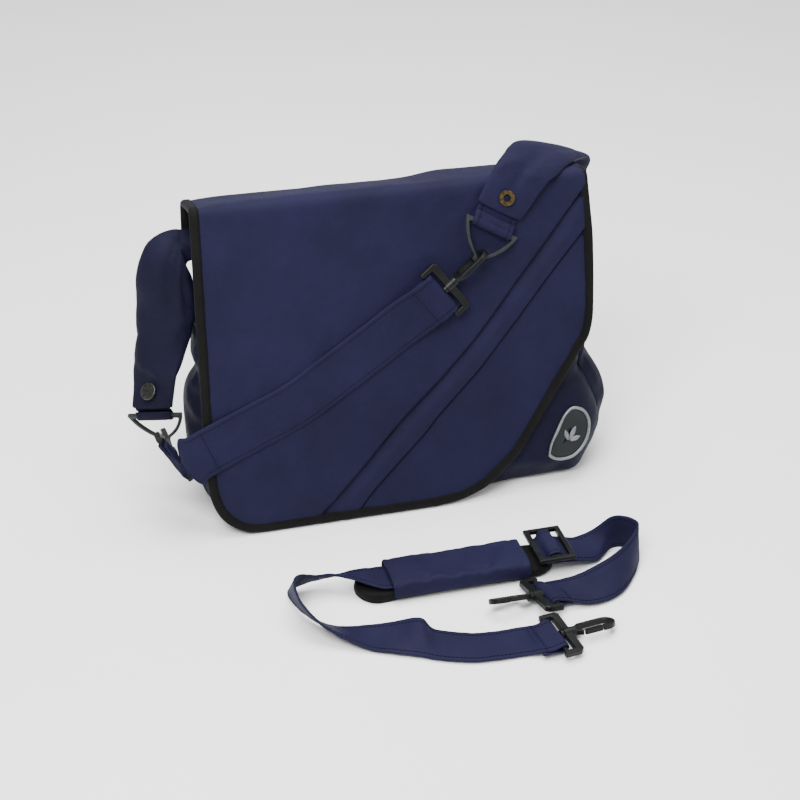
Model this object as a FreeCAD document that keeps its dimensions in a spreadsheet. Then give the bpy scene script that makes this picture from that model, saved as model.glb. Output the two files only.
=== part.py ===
"""Messenger-style diaper bag with a flap, a clip-on carry loop and a loose shoulder strap.

Millimetres. The origin is the middle of the bag's base, on the surface that it stands on.
+Z is up, the flap faces -Y and +X is the wearer's right when looking at the flap.
"""
import FreeCAD, Part
import Sketcher
import math
import os

V = FreeCAD.Vector
doc = FreeCAD.newDocument("diaper_bag")

# ---------------------------------------------------------------- driving dimensions

SIZES = {
    # bag body: a wedge, deeper at the base than at the mouth
    "base_width": 384, "mouth_width": 360, "body_height": 284, "base_lift": 0,
    "back_y": 58, "front_base_y": -72.7, "front_mouth_y": 8.9, "wall": 3, "lining_gap": 0.3,
    "lining_wall": 0.9, "board_thick": 2,
    # flap: back strip, top panel and front panel
    "flap_left": 200, "flap_right": 190, "flap_foot_y": -80, "flap_foot_z": 2,
    "ridge_y": 8, "ridge_z": 306, "flap_back_z": 290, "flap_thick": 3, "flap_lining": 1,
    "flap_corner": 45, "binding_width": 9, "binding_thick": 5.5,
    "pivot_y": 60, "pivot_z": 256,
    # side pockets and inner pocket
    "pocket_top_z": 196, "pocket_bulge": 11, "pocket_wall": 1.6, "elastic": 5,
    "slip_width": 240, "slip_height": 150, "slip_depth": 9,
    # badge
    "badge_length": 55, "badge_width": 42, "badge_thick": 1.8, "badge_rim": 3.2,
    # webbing and hardware
    "front_strap_width": 45, "strap_width": 38, "strap_thick": 2.4,
    "clip_length": 56, "clip_arm": 5, "clip_thick": 6, "clip_bar": 2.4, "clip_depth": 15.5,
    "swivel_pin": 2.6, "swivel_bore": 2.72, "hook_thick": 5, "hook_half": 10.5, "hook_wire": 5,
    "hook_centre": 48.5, "gate_thick": 4.2,
    "ring_half": 26, "ring_height": 34, "ring_wire": 4.4, "ring_thick": 4,
    "snap_radius": 8.5, "snap_height": 2, "eyelet_radius": 7.5, "eyelet_bore": 3.6,
    # shoulder pad and slider
    "pad_length": 192, "pad_width": 42, "pad_base": 2.7, "pad_core": 8, "pad_cover": 132,
    "slider_length": 50, "slider_depth": 36, "slider_thick": 4, "slider_bar": 8,
}

sheet = doc.addObject("Spreadsheet::Sheet", "sizes")
for row, (name, value) in enumerate(SIZES.items(), start=1):
    sheet.set(f"A{row}", name)
    sheet.set(f"B{row}", str(value))
    sheet.setAlias(f"B{row}", name)
doc.recompute()


def size(name):
    """The value of one spreadsheet cell."""
    return float(sheet.get(name))


NODES = []


def keep(obj, label, placement=None):
    """Names a finished sub-part and puts it in place."""
    obj.Label = label
    if placement is not None:
        obj.Placement = placement
    NODES.append(obj)
    return obj


# ---------------------------------------------------------------- placements

def axes_at(origin, x_dir, z_dir):
    """A placement whose local X lies along x_dir and whose local Z is as near z_dir as it can be."""
    x = V(*x_dir).normalize()
    z = V(*z_dir)
    z = (z - x * z.dot(x)).normalize()
    y = z.cross(x)
    turn = FreeCAD.Rotation(x, y, z, "ZXY")
    return FreeCAD.Placement(V(*origin), turn)


FLAP_RUN = size("ridge_y") - size("flap_foot_y")
FLAP_RISE = size("ridge_z") - size("flap_foot_z")
FLAP_LENGTH = math.hypot(FLAP_RUN, FLAP_RISE)
UP_FLAP = V(0, FLAP_RUN, FLAP_RISE).normalize()
OUT_OF_FLAP = V(0, -FLAP_RISE, FLAP_RUN).normalize()
FLAP_FOOT = V(0, size("flap_foot_y"), size("flap_foot_z"))


def on_flap(x, along, out=0.0):
    """A point given across the flap, up its slope from the foot, and out from its face."""
    return FLAP_FOOT + V(x, 0, 0) + UP_FLAP * along + OUT_OF_FLAP * out


def flap_direction(x, along, out=0.0):
    return V(x, 0, 0) + UP_FLAP * along + OUT_OF_FLAP * out


FLAP_PLANE = axes_at(FLAP_FOOT, (1, 0, 0), OUT_OF_FLAP)


# ---------------------------------------------------------------- modelling helpers

def new_body(label, placement=None):
    body = doc.addObject("PartDesign::Body", label)
    return keep(body, label, placement)


def new_sketch(body, name, role="XY_Plane", offset=0.0):
    """A sketch on one of the body's own origin planes, moved out along its normal by offset."""
    plane = next(f for f in body.Origin.OriginFeatures if f.Role == role)
    sketch = body.newObject("Sketcher::SketchObject", name)
    sketch.AttachmentSupport = (plane, [""])
    sketch.MapMode = "FlatFace"
    sketch.AttachmentOffset = FreeCAD.Placement(V(0, 0, offset), FreeCAD.Rotation())
    return sketch


def outline(sketch, edges):
    """Closed outline of lines (p, q) and arcs (p, mid, q), joined end to end."""
    for edge in edges:
        points = [V(x, y, 0) for x, y in edge]
        if len(points) == 2:
            sketch.addGeometry(Part.LineSegment(*points), False)
        else:
            sketch.addGeometry(Part.Arc(*points), False)


def polygon(sketch, points):
    outline(sketch, [(p, q) for p, q in zip(points, points[1:] + points[:1])])


def rectangle(sketch, width, height, centre=(0, 0)):
    """Rectangle whose width and height are expressions on the sheet, about a fixed centre."""
    w, t = doc_value(width) / 2, doc_value(height) / 2
    cx, cy = centre
    corners = [(cx - w, cy - t), (cx + w, cy - t), (cx + w, cy + t), (cx - w, cy + t)]
    first = sketch.GeometryCount
    polygon(sketch, corners)
    for i in range(4):
        sketch.addConstraint(Sketcher.Constraint("Coincident", first + i, 2, first + (i + 1) % 4, 1))
    for i, kind in enumerate(("Horizontal", "Vertical", "Horizontal", "Vertical")):
        sketch.addConstraint(Sketcher.Constraint(kind, first + i))
    wide = sketch.addConstraint(Sketcher.Constraint("DistanceX", first, 1, first, 2, 2 * w))
    high = sketch.addConstraint(Sketcher.Constraint("DistanceY", first + 1, 1, first + 1, 2, 2 * t))
    left = sketch.addConstraint(Sketcher.Constraint("DistanceX", -1, 1, first + 1, 1, cx + w))
    top = sketch.addConstraint(Sketcher.Constraint("DistanceY", -1, 1, first + 2, 1, cy + t))
    sketch.setExpression(f"Constraints[{wide}]", width)
    sketch.setExpression(f"Constraints[{high}]", height)
    sketch.setExpression(f"Constraints[{left}]", f"{cx} mm + 0.5 * ({width})")
    sketch.setExpression(f"Constraints[{top}]", f"{cy} mm + 0.5 * ({height})")


def doc_value(expression):
    """The number that a sheet expression such as 'sizes.wall * 1 mm' comes to."""
    words = expression.replace(" * 1 mm", "")
    total = 0.0
    for term in words.replace(" - ", " + -").split(" + "):
        sign = -1.0 if term.startswith("-") else 1.0
        term = term.lstrip("-")
        factor = 1.0
        for piece in term.split(" * "):
            piece = piece.replace(" mm", "")
            factor *= size(piece[6:]) if piece.startswith("sizes.") else float(piece)
        total += sign * factor
    return total


def mm(name):
    """Expression for one cell as a length."""
    return f"sizes.{name} * 1 mm"


def pad(body, sketch, length, midplane=False, reverse=False):
    feature = body.newObject("PartDesign::Pad", f"{sketch.Name}_pad")
    feature.Profile = sketch
    feature.Length = doc_value(length)
    feature.setExpression("Length", length)
    feature.Midplane = midplane
    feature.Reversed = reverse
    sketch.Visibility = False
    return feature


def pocket_through(body, sketch):
    """A cut right through, both ways from the sketch."""
    feature = body.newObject("PartDesign::Pocket", f"{sketch.Name}_pocket")
    feature.Profile = sketch
    feature.Type = 1
    feature.Midplane = True
    doc.recompute()
    return feature


def circle(sketch, radius, centre=(0, 0)):
    index = sketch.addGeometry(Part.Circle(V(centre[0], centre[1], 0), V(0, 0, 1), doc_value(radius)), False)
    rule = sketch.addConstraint(Sketcher.Constraint("Radius", index, doc_value(radius)))
    sketch.setExpression(f"Constraints[{rule}]", radius)
    sketch.addConstraint(Sketcher.Constraint("DistanceX", -1, 1, index, 3, centre[0]))
    sketch.addConstraint(Sketcher.Constraint("DistanceY", -1, 1, index, 3, centre[1]))


def rod(body, name, radius, start, length):
    """A round bar along the body's X axis."""
    sketch = new_sketch(body, name, "YZ_Plane", start)
    circle(sketch, radius)
    return pad(body, sketch, length)


def round_edges(body, radius, keep_edge=lambda edge: True):
    """Rounds the chosen edges of the body's last feature."""
    doc.recompute()
    tip = body.Tip
    names = [f"Edge{i}" for i, edge in enumerate(tip.Shape.Edges, start=1) if keep_edge(edge)]
    fillet = body.newObject("PartDesign::Fillet", f"{body.Name}_round")
    fillet.Base = (tip, names)
    fillet.Radius = radius
    doc.recompute()
    return fillet


def flat_solid(sections):
    """Closed solid of flat faces through a row of four-cornered sections.

    Sides 0-1 and 2-3 are split along matching diagonals, so a twisted wall keeps its thickness.
    """
    faces = []

    def triangle(a, b, c):
        faces.append(Part.Face(Part.makePolygon([a, b, c, a])))

    for one, two in zip(sections, sections[1:]):
        for i in (0, 1, 3):
            j = (i + 1) % 4
            triangle(one[i], one[j], two[j])
            triangle(one[i], two[j], two[i])
        triangle(one[2], one[3], two[2])
        triangle(one[3], two[3], two[2])
    for end in (sections[0], sections[-1]):
        triangle(end[0], end[1], end[2])
        triangle(end[0], end[2], end[3])
    shell = Part.makeShell(faces)
    shell.sewShape()
    solid = Part.makeSolid(shell)
    if solid.Volume < 0:
        solid.reverse()
    return solid


def add_shape(label, shape, placement=None):
    """A sub-part whose shape comes straight from sheet values."""
    feature = doc.addObject("Part::Feature", label)
    feature.Shape = shape
    if placement is not None:
        placement = placement.multiply(shape.Placement)
    return keep(feature, label, placement)


def ribbon(stations, thick):
    """Webbing through stations (one edge, other edge): a flat strip of the given thickness."""
    sections = []
    for i, (a, b) in enumerate(stations):
        before = stations[max(i - 1, 0)]
        after = stations[min(i + 1, len(stations) - 1)]
        a, b = V(*a), V(*b)
        run = V(*after[0]) + V(*after[1]) - V(*before[0]) - V(*before[1])
        out = run.cross(b - a).normalize() * (thick / 2)
        sections.append([a - out, b - out, b + out, a + out])
    return flat_solid(sections)


def loop_station(place, reach, width):
    """The webbing's two edges where it leaves a folded loop."""
    return tuple(place.multVec(V(-reach, side * width / 2, 0)) for side in (1, -1))


# ---------------------------------------------------------------- bag body

def hull_corner(side, back, top, inset):
    """A corner of the wedge-shaped body, moved in from each outer face by inset."""
    low, high = size("base_lift"), size("body_height")
    z = high if top else low + inset
    share = (z - low) / (high - low)
    half = (size("base_width") + (size("mouth_width") - size("base_width")) * share) / 2 - inset
    front = size("front_base_y") + (size("front_mouth_y") - size("front_base_y")) * share
    y = size("back_y") - inset if back else front + inset * 1.04
    return V(side * half, y, z)


def wall_between(label, corners, outer, inner):
    """A wall whose outer face runs through the corners at inset outer, its inner face at inner."""
    return add_shape(label, flat_solid([
        [hull_corner(*c, outer) for c in corners],
        [hull_corner(*c, inner) for c in corners],
    ]))


LEFT, RIGHT = -1, 1
WALLS = {
    "front_panel": [(LEFT, False, False), (RIGHT, False, False), (RIGHT, False, True), (LEFT, False, True)],
    "back_panel": [(LEFT, True, False), (RIGHT, True, False), (RIGHT, True, True), (LEFT, True, True)],
    "left_gusset": [(LEFT, False, False), (LEFT, True, False), (LEFT, True, True), (LEFT, False, True)],
    "right_gusset": [(RIGHT, False, False), (RIGHT, True, False), (RIGHT, True, True), (RIGHT, False, True)],
    "base_panel": [(LEFT, False, False), (RIGHT, False, False), (RIGHT, True, False), (LEFT, True, False)],
}


def hull_block(inset, open_top=0.0):
    """The solid inside the body at a given inset, with its top raised so that cuts leave it open."""
    def ring(top):
        order = [(LEFT, False), (RIGHT, False), (RIGHT, True), (LEFT, True)]
        return [hull_corner(s, b, top, inset) for s, b in order]
    lower, upper = ring(False), ring(True)
    return flat_solid([lower, [p + (p - q) * open_top for p, q in zip(upper, lower)]])


def make_body_panels():
    for label, corners in WALLS.items():
        wall_between(label, corners, 0.0, size("wall"))
    outer = size("wall") + size("lining_gap")
    inner = outer + size("lining_wall")
    lining = hull_block(outer).cut(hull_block(inner, 0.1))
    add_shape("lining", lining)
    board = doc.addObject("Part::Box", "base_board")
    floor_z = size("base_lift") + inner + 0.3
    depth = size("back_y") - size("front_base_y") - 2 * inner - 8
    board.Length = size("base_width") - 2 * inner - 6
    board.setExpression("Height", mm("board_thick"))
    board.Width = depth
    keep(board, "base_board", FreeCAD.Placement(
        V(-board.Length.Value / 2, size("back_y") - inner - 1 - depth, floor_z), FreeCAD.Rotation()))


def make_mouth_binding():
    """A narrow tape folded over the mouth's front and side edges."""
    low = size("body_height") + 0.2
    ring = []
    for inset in (-0.4, 4.6):
        order = [(LEFT, False), (RIGHT, False), (RIGHT, True), (LEFT, True)]
        ring.append([hull_corner(s, b, True, inset) + V(0, 0, 0.2) for s, b in order])
    back = size("back_y") - 0.4
    for corners in ring:
        for p in corners[2:]:
            p.y = min(p.y, back)
    outer = Part.Face(Part.makePolygon(ring[0] + ring[0][:1]))
    inner = Part.Face(Part.makePolygon(ring[1] + ring[1][:1]))
    tape = outer.cut(inner).extrude(V(0, 0, 2.2))
    add_shape("mouth_binding", tape)


def side_pocket(label, side):
    """An elasticated pocket sewn to a gusset: an open-topped pouch standing out from it."""
    low, high = size("base_lift") + 6, size("pocket_top_z")
    wall, bulge = size("pocket_wall"), size("pocket_bulge")

    def at(z, share, out):
        part = (z - size("base_lift")) / (size("body_height") - size("base_lift"))
        half = (size("base_width") + (size("mouth_width") - size("base_width")) * part) / 2
        front = size("front_base_y") + (size("front_mouth_y") - size("front_base_y")) * part
        front, back = front + 9, size("back_y") - 7
        return V(side * (half + out), front + (back - front) * share, z)

    def block(z0, z1, trim, out_low, out_high):
        skin = 0.25
        return flat_solid([
            [at(z0, trim, skin), at(z0, 1 - trim, skin), at(z0, 1 - trim, out_low), at(z0, trim, out_low)],
            [at(z1, trim, skin), at(z1, 1 - trim, skin), at(z1, 1 - trim, out_high), at(z1, trim, out_high)],
        ])

    outside = block(low, high, 0.0, bulge - 2, bulge)
    hollow = block(low + wall, high + 4, 0.02, bulge - 2 - wall, bulge - wall)
    add_shape(label, outside.cut(hollow))
    rim_low, rim_high = high + 0.2, high + 0.2 + size("elastic")
    hem = block(rim_low, rim_high, 0.0, bulge, bulge - 0.3)
    hem_hollow = block(rim_low - 1, rim_high + 1, 0.02, bulge - wall, bulge - wall - 0.3)
    add_shape(label + "_elastic", hem.cut(hem_hollow))


def make_slip_pocket():
    """An open slip pocket on the inside of the back panel."""
    y_back = size("back_y") - size("wall") - size("lining_gap") - size("lining_wall") - 0.2
    low = 70
    body = new_body("inner_pocket", FreeCAD.Placement(V(0, y_back, low), FreeCAD.Rotation()))
    sketch = new_sketch(body, "pocket_plan")
    rectangle(sketch, mm("slip_width"), mm("slip_depth"), (0, -size("slip_depth") / 2))
    pad(body, sketch, mm("slip_height"))
    doc.recompute()
    mouth = new_sketch(body, "pocket_mouth", "XY_Plane", 1.5)
    rectangle(mouth, "sizes.slip_width * 1 mm - 4 mm", "sizes.slip_depth * 1 mm - 3 mm",
              (0, -size("slip_depth") / 2))
    cut = body.newObject("PartDesign::Pocket", "pocket_hollow")
    cut.Profile = mouth
    cut.Reversed = True
    cut.Length = size("slip_height")
    cut.setExpression("Length", mm("slip_height"))
    elastic = doc.addObject("Part::Box", "inner_pocket_elastic")
    elastic.setExpression("Length", mm("slip_width"))
    elastic.Width = 1.5
    elastic.setExpression("Height", mm("elastic"))
    keep(elastic, "inner_pocket_elastic", FreeCAD.Placement(
        V(-size("slip_width") / 2, y_back - size("slip_depth"), low + size("slip_height") + 0.2),
        FreeCAD.Rotation()))


# ---------------------------------------------------------------- badge

FRONT_GAP = 7.0          # flap's outer face to the body's front face
BADGE_AT = (168, 53)     # centre of the badge, across and up the front panel
BADGE_LEAN = 52          # degrees from the flap's X axis to the badge's long axis


def egg(half_length, half_width, grow=0.0):
    """Egg-shaped outline, blunt at one end: three-point arcs round its two halves."""
    a, b = half_length + grow, half_width + grow
    return [((-a, 0), (-0.62 * a, -0.78 * b), (0.1 * a, -b)), ((0.1 * a, -b), (0.8 * a, -0.62 * b), (a, 0)),
            ((a, 0), (0.8 * a, 0.62 * b), (0.1 * a, b)), ((0.1 * a, b), (-0.62 * a, 0.78 * b), (-a, 0))]


def badge_place(out):
    lean = math.radians(BADGE_LEAN)
    along = flap_direction(math.cos(lean), math.sin(lean))
    return axes_at(on_flap(*BADGE_AT, out - FRONT_GAP), along, OUT_OF_FLAP)


def make_badge():
    long, wide = size("badge_length") / 2, size("badge_width") / 2
    plate = new_body("badge_plate", badge_place(0.15))
    field = new_sketch(plate, "badge_field")
    outline(field, egg(long, wide, -size("badge_rim") - 0.05))
    pad(plate, field, mm("badge_thick"))
    rim = new_body("badge_rim", badge_place(0.15))
    ring = new_sketch(rim, "rim_outline")
    outline(ring, egg(long, wide))
    outline(ring, egg(long, wide, -size("badge_rim")))
    pad(rim, ring, "sizes.badge_thick * 1 mm + 0.5 mm")
    motif = new_body("badge_motif", badge_place(0.2 + size("badge_thick")))
    leaf = new_sketch(motif, "leaf_outline")
    outline(leaf, [((-12, 0), (0, 6), (12, 0)), ((12, 0), (0, -6), (-12, 0))])
    pad(motif, leaf, "0.7 mm")


# ---------------------------------------------------------------- flap

# The two slanting seams, from the flap's foot to its right edge: (foot, middle, right edge).
UPPER_SEAM = [(-88, 0), (49, 136), (190, 302)]
LOWER_SEAM = [(-53, 0), (84, 137), (190, 258)]
CURVE_FOOT, CURVE_BELLY, CURVE_MID = (20, 0), (72, 12), (110, 44)
CURVE_TOP, CURVE_KNEE, CURVE_END = (178, 142), (187, 156), (190, 172)


def flap_outline():
    """Wire of the front panel: square at the ridge, one round corner, one long swept corner."""
    left, right, r = -size("flap_left"), size("flap_right"), size("flap_corner")
    top = FLAP_LENGTH + 20
    bend = r * (1 - math.sqrt(0.5))
    points = [
        [(right, CURVE_END[1]), (right, top)], [(right, top), (left + 4, top)],
        [(left + 4, top), (left, r)],
        [(left, r), (left + bend, bend), (left + r, 0)],
        [(left + r, 0), CURVE_FOOT], [CURVE_FOOT, CURVE_BELLY, CURVE_MID],
        [CURVE_MID, CURVE_TOP], [CURVE_TOP, CURVE_KNEE, CURVE_END],
    ]
    edges = []
    for step in points:
        step = [V(x, y, 0) for x, y in step]
        curve = Part.LineSegment(*step) if len(step) == 2 else Part.Arc(*step)
        edges.append(curve.toShape())
    return Part.Wire(Part.__sortEdges__(edges))


def region(points, thick):
    points = [V(x, y, 0) for x, y in points]
    return Part.Face(Part.makePolygon(points + points[:1])).extrude(V(0, 0, thick))


def make_flap():
    outer = Part.Face(flap_outline())
    inner = Part.Face(outer.makeOffset2D(-size("binding_width")).Wires[0])
    thick, lining = size("flap_thick"), size("flap_lining")
    wide = 400
    below_ridge = region([(-wide, -wide), (wide, -wide), (wide, FLAP_LENGTH), (-wide, FLAP_LENGTH)], 60)
    below_ridge.translate(V(0, 0, -30))

    field = inner.extrude(V(0, 0, thick)).common(below_ridge)
    field.translate(V(0, 0, -thick))
    gap = 0.15
    pieces = {
        "flap_main_field": [UPPER_SEAM[0], UPPER_SEAM[1], UPPER_SEAM[2], (wide, 420), (wide, 460),
                            (-wide, 460), (-wide, -60), (-88 - 60, -60)],
        "flap_welt": [LOWER_SEAM[0], LOWER_SEAM[1], LOWER_SEAM[2], (wide, 370), (wide, 419),
                      UPPER_SEAM[2], UPPER_SEAM[1], UPPER_SEAM[0], (-150, -60), (-115, -60)],
        "flap_corner_field": [LOWER_SEAM[0], (-114, -60), (wide, -60), (wide, 369), LOWER_SEAM[2],
                              LOWER_SEAM[1]],
    }
    shift = {"flap_main_field": (-gap, gap), "flap_welt": (0, 0), "flap_corner_field": (gap, -gap)}
    for label, points in pieces.items():
        dx, dy = shift[label]
        cutter = region([(x + dx, y + dy) for x, y in points], 20)
        cutter.translate(V(0, 0, -10))
        add_shape(label, field.common(cutter), FLAP_PLANE)

    backing = inner.extrude(V(0, 0, lining)).common(below_ridge)
    backing.translate(V(0, 0, -thick - lining))
    add_shape("flap_lining", backing, FLAP_PLANE)

    edge = outer.cut(inner).extrude(V(0, 0, size("binding_thick"))).common(below_ridge)
    edge.translate(V(0, 0, 0.6 - size("binding_thick")))
    add_shape("flap_binding", edge, FLAP_PLANE)


FLAP_TOP_START = (13.2, 304.6)   # (y, z) of the top panel's front edge, just behind the front panel's binding


def make_flap_top():
    """The panel over the mouth and the strip down the back, both as wide as the flap."""
    t = size("flap_thick")
    left, right = -size("flap_left") + 4, size("flap_right")
    start_y, start_z = FLAP_TOP_START
    back = (size("pivot_y") + t / 2, size("flap_back_z"))
    section = [(start_y, start_z - t), (start_y, start_z), back, (back[0] - 1, back[1] - t)]
    ends = [[V(x, y, z) for y, z in section] for x in (left, right)]
    add_shape("flap_top_panel", flat_solid(ends))
    strip = doc.addObject("Part::Box", "flap_back_strip")
    strip.Length = right - left
    strip.setExpression("Width", mm("flap_thick"))
    strip.Height = size("flap_back_z") - t - 0.2 - size("pivot_z")
    keep(strip, "flap_back_strip", FreeCAD.Placement(
        V(left, size("pivot_y") - t / 2, size("pivot_z")), FreeCAD.Rotation()))


PATCH_SIZE = (50, 25, 1.15)
PATCH_CENTRES, PATCH_UP = (-110, 40), 66   # across the flap, and up its slope to a patch's lower edge


def make_fasteners():
    """Hook-and-loop patches: two loop pads on the bag's front, two hook pads inside the flap."""
    for label, out in (("closure_loop_patches", -FRONT_GAP + 0.05),
                       ("closure_hook_patches", -size("flap_thick") - size("flap_lining") - 1.2)):
        pads = []
        for x in PATCH_CENTRES:
            pads.append(Part.makeBox(*PATCH_SIZE, V(x - PATCH_SIZE[0] / 2, PATCH_UP, out)))
        add_shape(label, Part.makeCompound(pads), FLAP_PLANE)


# ---------------------------------------------------------------- swivel clips and rings

def clip_base(label, place):
    """Open-ended frame: thick bar with a swivel boss, two arms and a round bar for the webbing."""
    body = new_body(label, place)
    half, arm, deep = size("clip_length") / 2, size("clip_arm"), size("clip_depth")
    reach, slot = 3.0, 8.0
    frame = new_sketch(body, label + "_frame")
    polygon(frame, [(-reach, -half), (deep - 3, -half), (deep, -half + 3), (deep, half - 3), (deep - 3, half),
                    (-reach, half), (-reach, half - arm), (slot, half - arm), (slot, arm - half),
                    (-reach, arm - half)])
    pad(body, frame, mm("clip_thick"), midplane=True)
    round_edges(body, 1.1)
    bar = new_sketch(body, label + "_bar", "XZ_Plane", -(half - arm / 2))
    circle(bar, mm("clip_bar"))
    pad(body, bar, "sizes.clip_length * 1 mm - sizes.clip_arm * 1 mm")
    rod(body, label + "_boss", "5 mm", slot, "sizes.clip_depth * 1 mm - 8 mm")
    doc.recompute()
    bore = new_sketch(body, label + "_bore", "YZ_Plane", slot - 2)
    circle(bore, mm("swivel_bore"))
    hole = body.newObject("PartDesign::Pocket", label + "_hole")
    hole.Profile = bore
    hole.Reversed = True
    hole.Length = 12
    return body


def clip_hook(label, place):
    """Swivel pin with a retaining head, a flange, and the open hook that the gate closes."""
    body = new_body(label, place)
    half, wire, mid = size("hook_half"), size("hook_wire"), size("hook_centre")
    inner = half - wire
    neck, web = 19.0, 26.0
    profile = new_sketch(body, label + "_profile")
    outline(profile, [
        ((neck - 1, -3.6), (neck - 1, 3.6)), ((neck - 1, 3.6), (web, half)), ((web, half), (mid, half)),
        ((mid, half), (mid + half, 0), (mid, -half)), ((mid, -half), (mid - 5, -half)),
        ((mid - 5, -half), (mid - 4, -inner)), ((mid - 4, -inner), (mid, -inner)),
        ((mid, -inner), (mid + inner, 0), (mid, inner)), ((mid, inner), (web + 2, inner)),
        ((web + 2, inner), (web - 1, -inner + 1)), ((web - 1, -inner + 1), (web - 1, -half + 1)),
        ((web - 1, -half + 1), (neck - 1, -3.6)),
    ])
    pad(body, profile, mm("hook_thick"), midplane=True)
    round_edges(body, 0.9)
    rod(body, label + "_flange", "4.8 mm", 15.8, "3.6 mm")
    rod(body, label + "_pin", mm("swivel_pin"), 5.2, "14 mm")
    rod(body, label + "_head", "4.1 mm", 5.0, "2.6 mm")
    return body


def clip_gate(label, place):
    """Sprung leaf that closes the hook's mouth."""
    body = new_body(label, place)
    half, inner, mid = size("hook_half"), size("hook_half") - size("hook_wire"), size("hook_centre")
    start, end = 25.8, mid - 5.6
    middle = -(half + inner) / 2
    leaf = new_sketch(body, label + "_leaf")
    t = 2.0
    outline(leaf, [
        ((start + t, middle - t), (end, middle - t)), ((end, middle - t), (end + 0.6, middle + t)),
        ((end + 0.6, middle + t), (start + t, middle + t)),
        ((start + t, middle + t), (start, middle), (start + t, middle - t)),
    ])
    pad(body, leaf, mm("gate_thick"), midplane=True)
    return body


def ring_outline(grow):
    """Bowed triangle, moved out from the wire's centreline by grow: long bar at x = 0, apex on +X."""
    half, tall = size("ring_half"), size("ring_height")
    base, nose_x, nose_y = half + grow, tall - 4, 3.2 + 0.8 * grow
    bow_x, bow_y = tall / 2, half * 0.55 + 3 + 0.87 * grow
    return [
        ((-grow, -base), (-grow, base)),
        ((-grow, base), (bow_x, bow_y), (nose_x, nose_y)),
        ((nose_x, nose_y), (tall + grow, 0), (nose_x, -nose_y)),
        ((nose_x, -nose_y), (bow_x, -bow_y), (-grow, -base)),
    ]


def triangle_ring(label, place):
    """Three-sided wire loop."""
    body = new_body(label, place)
    wire = size("ring_wire") / 2
    plan = new_sketch(body, label + "_plan")
    outline(plan, ring_outline(wire))
    outline(plan, ring_outline(-wire))
    pad(body, plan, mm("ring_thick"), midplane=True)
    round_edges(body, 0.7)


def folded_loop(place, width, reach):
    """Eight-sided tube of webbing round a bar along local Y, with a leaf running back along -X."""
    def ring(radius):
        points = []
        for k in range(8):
            angle = math.radians(22.5 + 45 * k)
            points.append(V(radius * math.cos(angle), -width / 2, radius * math.sin(angle)))
        return Part.Face(Part.makePolygon(points + points[:1])).extrude(V(0, width, 0))

    leaf = Part.makeBox(reach - 3.4, width, 2, V(-reach, -width / 2, -1))
    loop = ring(LOOP_OUTER).fuse(leaf).cut(ring(LOOP_INNER))
    loop.Placement = place
    return loop


LOOP_OUTER, LOOP_INNER = 4.7, 3.25   # corner radii of the folded webbing round a bar
TAB_REACH = {"right": 20, "left": 13}
TAB_WIDTH = {"right": 42, "left": 36}


# Right link, in flap coordinates (across, up, out)
RIGHT_BAR = (88, 275, 9)
RIGHT_TOUCH = (72, 247, 12)
RIGHT_BAR_DIRECTION = (0.86, -0.51)
RIGHT_CLIP = (31, 214, 12)
# Left link, beside the bag
LEFT_BAR = (-240, -2, 101)
LEFT_TOUCH = (-231, 2, 71)
LEFT_CLIP = (-229, -50, 77)
LEFT_FACE = (-0.85, -0.1, -0.5)
LEFT_BAR_DIRECTION = (0.86, -0.48, 0.2)


def link_places():
    """Placements of each side's ring and clip: the ring's apex sits at the centre of the hook's arc."""
    apex_inside = size("ring_height") - size("ring_wire") / 2
    ends = {
        "right": (on_flap(*RIGHT_BAR), on_flap(*RIGHT_TOUCH), on_flap(*RIGHT_CLIP),
                  OUT_OF_FLAP, flap_direction(*RIGHT_BAR_DIRECTION)),
        "left": (V(*LEFT_BAR), V(*LEFT_TOUCH), V(*LEFT_CLIP), V(*LEFT_FACE), V(*LEFT_BAR_DIRECTION)),
    }
    places = {}
    for name, (bar, touch, clip, face, along_bar) in ends.items():
        pull = (touch - bar).normalize()
        apex = touch + pull * size("ring_wire") / 2
        ring_at = apex - pull * apex_inside
        aim = (apex - clip).normalize()
        clip_at = apex - aim * size("hook_centre")
        places[name] = {
            "ring": axes_at(ring_at, pull, pull.cross(along_bar)),
            "clip": axes_at(clip_at, aim, face),
            "hook": axes_at(clip_at, aim, along_bar),
        }
    return places


LINKS = link_places()


def make_links():
    """Rings, swivel clips, hooks and gates at both ends of the front strap."""
    for name, place in LINKS.items():
        triangle_ring(name + "_ring", place["ring"])
        clip_base(name + "_clip_base", place["clip"])
        clip_hook(name + "_hook", place["hook"])
        clip_gate(name + "_gate", place["hook"])
        add_shape(name + "_ring_tab", folded_loop(place["ring"], TAB_WIDTH[name], TAB_REACH[name]))


# ---------------------------------------------------------------- carry loop

# The front strap's middle line on the flap: (across, up, out).
FRONT_STRAP = [
    (-229, 77, 0), (-219, 80.5, 4), (-209, 84.5, 5), (-194, 91, 4.8), (-113, 123, 2.4), (-31, 172, 2.4),
    (4, 195, 6), (26, 211, 11),
]


def make_front_strap():
    """Webbing across the flap between the two clips, folded round a bar at each end."""
    width = size("front_strap_width")
    reach = 7
    middle = [on_flap(*p) for p in FRONT_STRAP]
    stations = [loop_station(LINKS["left"]["clip"], reach, width)[::-1]]
    for i in range(1, len(middle) - 1):
        run = (middle[i + 1] - middle[i - 1]).normalize()
        across = run.cross(OUT_OF_FLAP).normalize() * (width / 2)
        stations.append((middle[i] - across, middle[i] + across))
    stations.append(loop_station(LINKS["right"]["clip"], reach, width))
    shape = ribbon(stations, size("strap_thick"))
    for name in ("left", "right"):
        shape = shape.fuse(folded_loop(LINKS[name]["clip"], width - 1, reach + 2))
    add_shape("front_strap", shape)


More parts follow.
